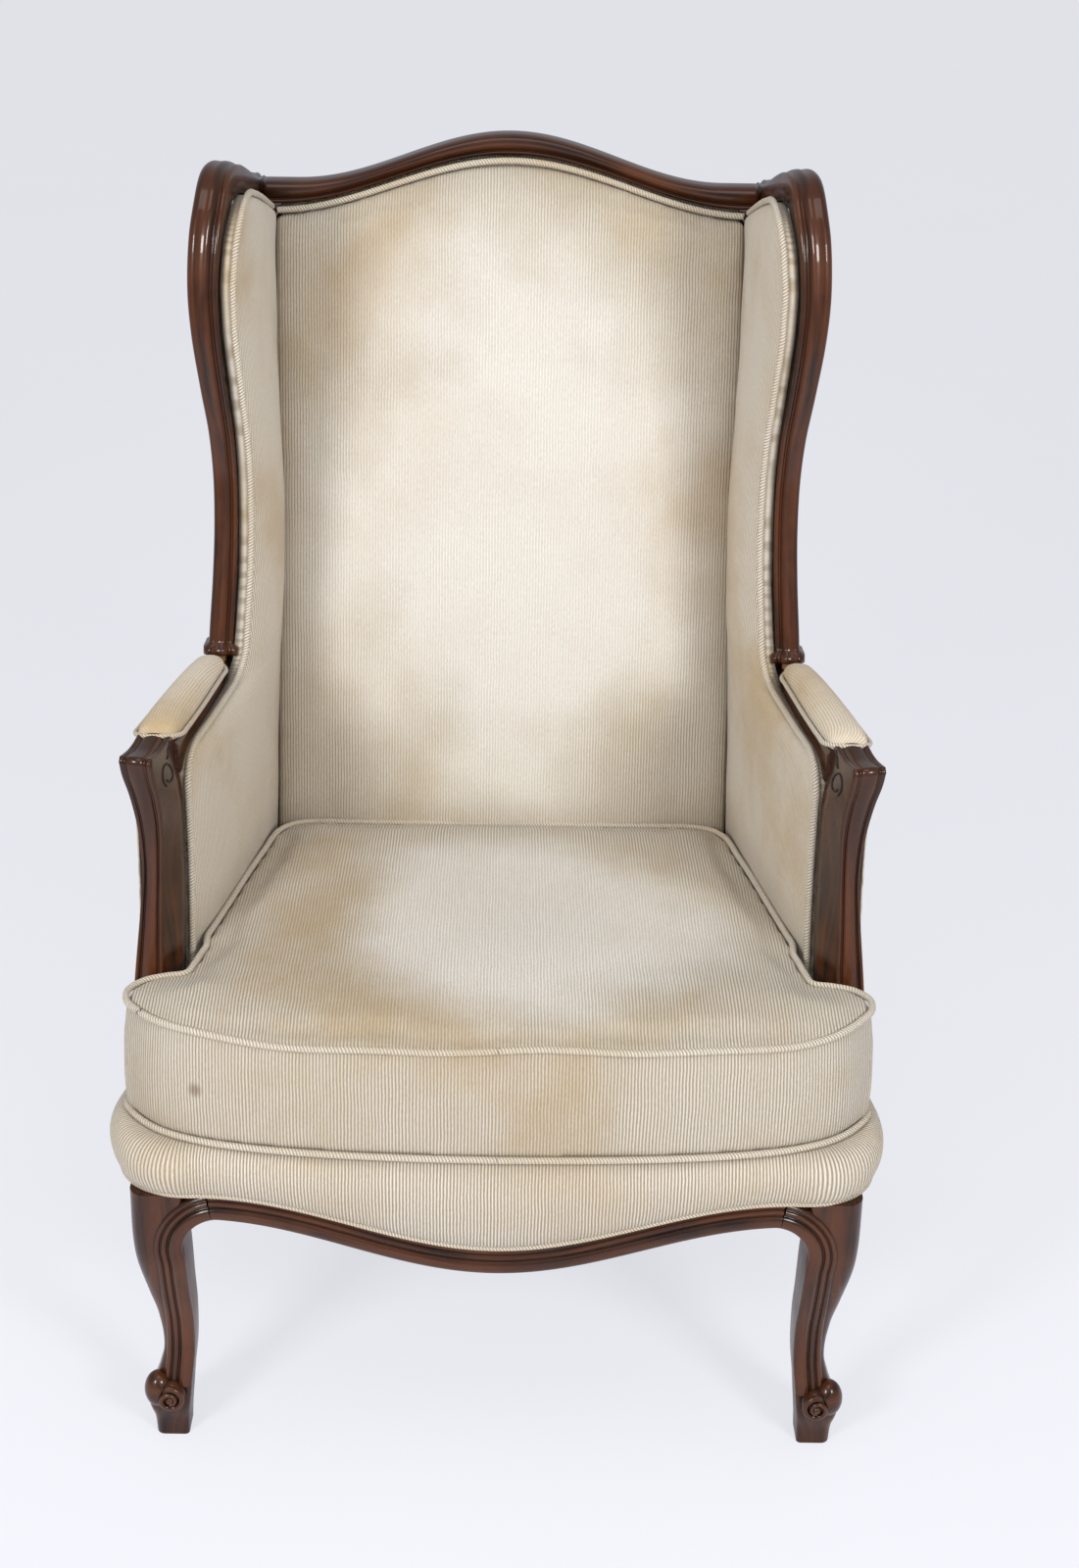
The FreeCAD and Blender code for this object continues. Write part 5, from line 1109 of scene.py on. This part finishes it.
outside_rows = []
outside_edge = curve([(0, y, z, level) for y, z, level in OUTSIDE_EDGE], 130)
for _, edge_y, edge_z, level in outside_edge:
    row = []
    for share in steps(0, 1, 34):
        start_y = back_y(level) - 1
        y = start_y + (edge_y - start_y) * share
        z = level + (edge_z - level) * share
        row.append([outside_plane(y, z) + 1.2 + 0.25 * ripple(y, z, 9), y, z])
    outside_rows.append(row)
for side, label in SIDES:
    rows = numpy.array(outside_rows)
    if side < 0:
        rows = flipped(rows, -1)[:, ::-1]
    panel = patch("side_cover_outside_cloth_" + label, rows, lay=lambda point: (point[1], point[2]),
                  closed=False)
    upholster(thickened(panel, 1.6), corduroy, nodes=("side_cover_outside_" + label,))
outer_rows = []
for share in steps(0, 1, 80):
    row = []
    for x in steps(-263.5, 263.5, 60):
        low, high = 252, (crest_edge(x) - 1.5 if abs(x) < 249 else 1043.5)
        z = low + (high - low) * share
        bow = 1.6 * (1 - (x / 264) ** 2) * math.sin(math.pi * share)
        row.append((x, back_y(z) - 1.7 + bow + 0.25 * ripple(x, z, 4), z))
    outer_rows.append(row)
outer_back = patch("back_cover_outside_cloth", outer_rows, lay=lambda point: (point[0], point[2]),
                   closed=False)
upholster(thickened(outer_back, 1.6), corduroy, nodes=("back_cover_outside",))

# Seat border: a stuffed roll round the front and the sides of the seat under the cushion, its
# cloth tacked along the rail and edged with a welt.

BORDER_SHAPE = [(0.0, 2), (0.015, 8), (0.06, 12.5), (0.15, 17), (0.32, 21.5), (0.52, 24), (0.72, 23),
                (0.87, 18.5), (0.96, 12), (1.0, 4), (1.0, -8), (1.0, -26)]
border_shape = curve([(share * 80, out) for share, out in BORDER_SHAPE], 40, chord=2)
BORDER_PLAN = [(329.7, -190), (334, -216), (337.5, -240), (337, -264), (330, -288), (316, -305),
               (292, -315.5), (262, -316.7), (210, -317.9), (150, -318.9), (75, -319.7), (0, -320)]
half_plan = curve(BORDER_PLAN, 150, chord=2)
whole_plan = numpy.concatenate([half_plan, (half_plan * (-1, 1))[::-1][1:]])
plan_way = numpy.gradient(whole_plan, axis=0)
plan_run = run_of(whole_plan)


def outward(index):
    run_x, run_y = plan_way[index]
    size = math.hypot(run_x, run_y)
    return -run_y / size, run_x / size


border_rows = []
for share, out in border_shape:
    row = []
    for index, (x, y) in enumerate(whole_plan):
        low = rail_edge(x) + BAND_TOP
        z = low + (330 - low) * share / 80
        away_x, away_y = outward(index)
        tight = 0.28 * max(0, min(1, (abs(x) - 300) / 30)) + 0.12 * math.exp(-((abs(x) - 250) / 50) ** 2)
        flare = out * (1 - tight) + 0.7 * ripple(plan_run[index], z, 3)
        row.append((x + away_x * flare, y + away_y * flare, z))
    border_rows.append(row)
border_rows = numpy.array(border_rows, float).transpose(1, 0, 2)
closing = numpy.array([[(x * 0.97, y + 8, z) for x, y, z in (row[-1], row[0])] for row in border_rows])
border_rows = numpy.concatenate([border_rows, closing, border_rows[:, :1]], axis=1)


def border_lay(point):
    """Place on the border cloth: round the seat, and up."""
    x, y, z = point
    index = int(numpy.argmin((whole_plan[:, 0] - x) ** 2 + (whole_plan[:, 1] - y) ** 2))
    run_x, run_y = plan_way[index]
    size = math.hypot(run_x, run_y)
    ahead = ((x - whole_plan[index][0]) * run_x + (y - whole_plan[index][1]) * run_y) / size
    return plan_run[index] + ahead, z


# The seat front's hollows between the wales are the darkest of the cloths: painted shade of light raking
# across them.
seat_cloth = ribbed("ivory corduroy of the seat front", soil=0.45, rib=1.5, valley_with_shade="9b8c74")
border = patch("seat_border_pad", border_rows, lay=border_lay)
upholster(border, seat_cloth, nodes=("seat_border_roll", "seat_border_cover"))
border_welt_points = []
for index in range(0, len(whole_plan), 5):
    x, y = whole_plan[index]
    away_x, away_y = outward(index)
    border_welt_points.append((x + away_x * 7.5, y + away_y * 7.5, rail_edge(x) + 26.2))
upholster(welt("seat_border_welt_cord", border_welt_points, 420, 3.0), welt_cloth,
          nodes=("seat_border_welt",))

# Seat cushion: a loose boxed T cushion of feather and foam in corduroy, its ears in front of the
# arm posts, with a corded welt round the top and the bottom seam.

CUSHION_LOW = 333.5
CUSHION_HIGH = 440
CUSHION_CROWN = 19


def cushion_half(height):
    """Right half of the seam line at a height, from the middle of the front to the back."""
    ear_back = -231.5 + 0.159 * (height - 333)
    level = max(height, PAD_FOOT)
    back = back_front(min(level, CUSHION_HIGH)) - 8.4
    side_back = side_plane(back - 52, level) - 12.5
    return [(0, -341), (80, -339.4), (160, -334.5), (225, -326), (270, -315), (303, -299), (325, -278),
            (336, -263), (339.5, ear_back - 34), (335, ear_back - 20), (325, ear_back - 9.5),
            (312, ear_back - 3.5), (299, ear_back), (289, ear_back + 5), (286.5, ear_back + 14), (276, -140),
            (262, -60), (250, 10), (side_back, back - 52), (side_back - 4, back - 30),
            (side_back - 17, back - 10), (205, back - 2.5), (140, back - 1.2), (60, back - 0.3), (0, back)]


AROUND = 150


def cushion_ring(height, inward):
    """Closed outline at a height, moved in; the ears and the front draw in towards the top seam."""
    half = curve(cushion_half(height), AROUND, chord=2)
    rise = (height - CUSHION_LOW) / (CUSHION_HIGH - CUSHION_LOW)
    half = half * numpy.where(half[:, 1:] < -150, (1 - 0.017 * rise, 1 - 0.012 * rise), (1, 1))
    ring = numpy.concatenate([half, (half * (-1, 1))[::-1][1:]])
    way = numpy.gradient(ring, axis=0)
    way[0] = way[-1] = (1, 0)
    way /= numpy.linalg.norm(way, axis=1)[:, None]
    return ring + numpy.stack([-way[:, 1], way[:, 0]], axis=1) * inward


def settled(points):
    """The seams of the worn cushion run a little up and down along its front."""
    front = numpy.clip((-points[:, 1] - 150) / 150, 0, 1) * numpy.clip((points[:, 2] - 345) / 95, 0, 1)
    sag = 2.4 * numpy.sin(points[:, 0] * 0.017 + 0.9) + 1.2 * numpy.sin(points[:, 0] * 0.041)
    return points + numpy.stack([0 * sag, 0 * sag, sag * front], axis=1)


def seam_place(points):
    """Distance from the seam line, and place along it, of points seen from above."""
    apart, along = numpy.empty(len(points)), numpy.empty(len(points))
    for start in range(0, len(points), 20000):
        part = points[start:start + 20000, :2]
        gap = ((part[:, None, :] - seam_ring[None]) ** 2).sum(axis=2)
        near = gap.argmin(axis=1)
        apart[start:start + 20000] = numpy.sqrt(gap.min(axis=1))
        along[start:start + 20000] = seam_run[near] + ((part - seam_ring[near]) * seam_way[near]).sum(axis=1)
    return apart, along


def cushion_allowed(points):
    """The stuffing crowns the top, bows the boxing a little and leaves the underside flat."""
    apart, _ = seam_place(points)
    height = (points[:, 2] - CUSHION_LOW) / (CUSHION_HIGH - CUSHION_LOW)
    crown = 1.5 + CUSHION_CROWN * (1 - numpy.exp(-apart / 34.0)) ** 1.1
    crown += 1.6 * numpy.sin(points[:, 0] * 0.021 + 1) * numpy.sin(points[:, 1] * 0.026) * (apart > 20)
    bow = 0.6 + 6 * numpy.sin(numpy.pi * numpy.clip(height, 0, 1)) ** 0.7
    return numpy.where((height > 0.97) & (apart > 4), crown, numpy.where(height < 0.03, 0.8, bow))


def cushion_cloth(points, facing):
    """Panels are cut with the wales running front to back; the boxing's wales stand upright."""
    _, along = seam_place(points)
    panel = numpy.abs(facing[:, 2]) > 0.75
    return numpy.where(panel, points[:, 0], along), numpy.where(panel, points[:, 1], points[:, 2])


seam_ring = numpy.roll(cushion_ring(CUSHION_HIGH, 0)[:-1], AROUND, axis=0)
seam_ring = numpy.concatenate([seam_ring, seam_ring[:1]])
seam_run = run_of(seam_ring)
seam_way = numpy.gradient(seam_ring, axis=0)
seam_way /= numpy.linalg.norm(seam_way, axis=1)[:, None]
cushion_rows = []
for height in [CUSHION_LOW - 2] + steps(CUSHION_LOW, CUSHION_HIGH, 12):
    cushion_rows.append([(x, y, height) for x, y in cushion_ring(max(height, CUSHION_LOW), 0)])
cushion = patch("seat_cushion", cushion_rows)
stuffed(cushion, 5, cushion_allowed)
lay_cloth(cushion, cushion_cloth)
set_points(cushion, settled(points_of(cushion)))
# The pale middle of the cushion top is partly wear and partly painted light where both lamps fall. Its
# hollows between the wales are painted darker as shade.
seat_top = ribbed("ivory corduroy of the cushion", worn=((0.03, -0.12, 0.45), (0.2, 0.2, 1)), soil=0.75,
                  rib=1.3, valley_with_shade="a5977f", spill=(-0.267, -0.318, 0.385))
upholster(cushion, seat_top, body="cushion",
          nodes=("cushion_core", "cushion_top_panel", "cushion_boxing", "cushion_bottom_panel"))
for name, height, node in (("cushion_welt_cord_top", CUSHION_HIGH, "cushion_welt_top"),
                           ("cushion_welt_cord_bottom", CUSHION_LOW, "cushion_welt_bottom")):
    ring = cushion_ring(height, -1.9)
    points = settled(numpy.array([(x, y, height) for x, y in ring[::3]])).tolist()
    cord = welt(name, points[:-1] + [points[0]], 560)
    upholster(cord, welt_cloth, body="cushion", nodes=(node,))

# Studio: a pale seamless paper floor under a pale sky, a soft lamp at each front corner and one
# above. The chair is seen from the front and a little above.

floor_steps = steps(-30000, 30000, 12)
floor_rows = [[(across, along, 0) for across in floor_steps] for along in floor_steps]
studio_floor = patch("studio_floor", floor_rows, closed=False)
paper, shader = mottled("pale studio paper", "f6f6fb", "eeeff6", 2, 3, Roughness=0.9, Specular_IOR_Level=0.1)
ray = add(paper, "LightPath")
glow = add(paper, "Emission", {"Color": linear("f6f7fd"), "Strength": 1.0})
seen = add(paper, "Math", {0: ray.outputs["Is Camera Ray"], 1: 0.7}, operation="MULTIPLY")
blend = add(paper, "MixShader", {0: seen, 1: shader, 2: glow})
paper.node_tree.links.new(blend.outputs[0], paper.node_tree.nodes["Material Output"].inputs[0])
studio_floor.data.materials.append(paper)

world = bpy.data.worlds.new("studio")
bpy.context.scene.world = world
world.use_nodes = True
sky = world.node_tree.nodes["Background"]
sky.inputs["Color"].default_value = linear("f1f3fa")
looked_at = add(world, "LightPath")
bright = add(world, "MapRange", {"Value": looked_at.outputs["Is Camera Ray"], "To Min": 0.45, "To Max": 1.05})
world.node_tree.links.new(bright.outputs[0], sky.inputs["Strength"])


def lamp(name, place, aim, size, power):
    """Square soft lamp at a place in metres, turned to what it lights."""
    light = bpy.data.lights.new(name, "AREA")
    light.shape = "SQUARE"
    light.size = size
    light.energy = power
    holder = bpy.data.objects.new(name, light)
    bpy.context.collection.objects.link(holder)
    holder.location = place
    from_lamp = [a - b for a, b in zip(aim, place)]
    holder.rotation_mode = "QUATERNION"
    holder.rotation_quaternion = Vector(from_lamp).to_track_quat("-Z", "Y")


lamp("soft box left", (-1.42, -2.15, 1.7), (0, 0, 0.6), 0.6, 38)
lamp("soft box right", (1.42, -2.15, 1.7), (0, 0, 0.6), 0.6, 35)
lamp("soft box above", (0, -0.9, 2.9), (0, 0, 0.5), 1.4, 12)

camera = bpy.data.cameras.new("photograph view")
camera.sensor_width = 36
camera.lens = 2251 / 1600 * 36
camera.shift_x = 38 / 1600
eye = bpy.data.objects.new("photograph view", camera)
bpy.context.collection.objects.link(eye)
eye.location = (0, -1.979, 1.424)
eye.rotation_euler = (math.radians(90 - 24), 0, 0)
eye.rotation_euler.rotate_axis("Z", math.radians(0.825))
bpy.context.scene.camera = eye
bpy.context.scene.view_settings.view_transform = "Standard"
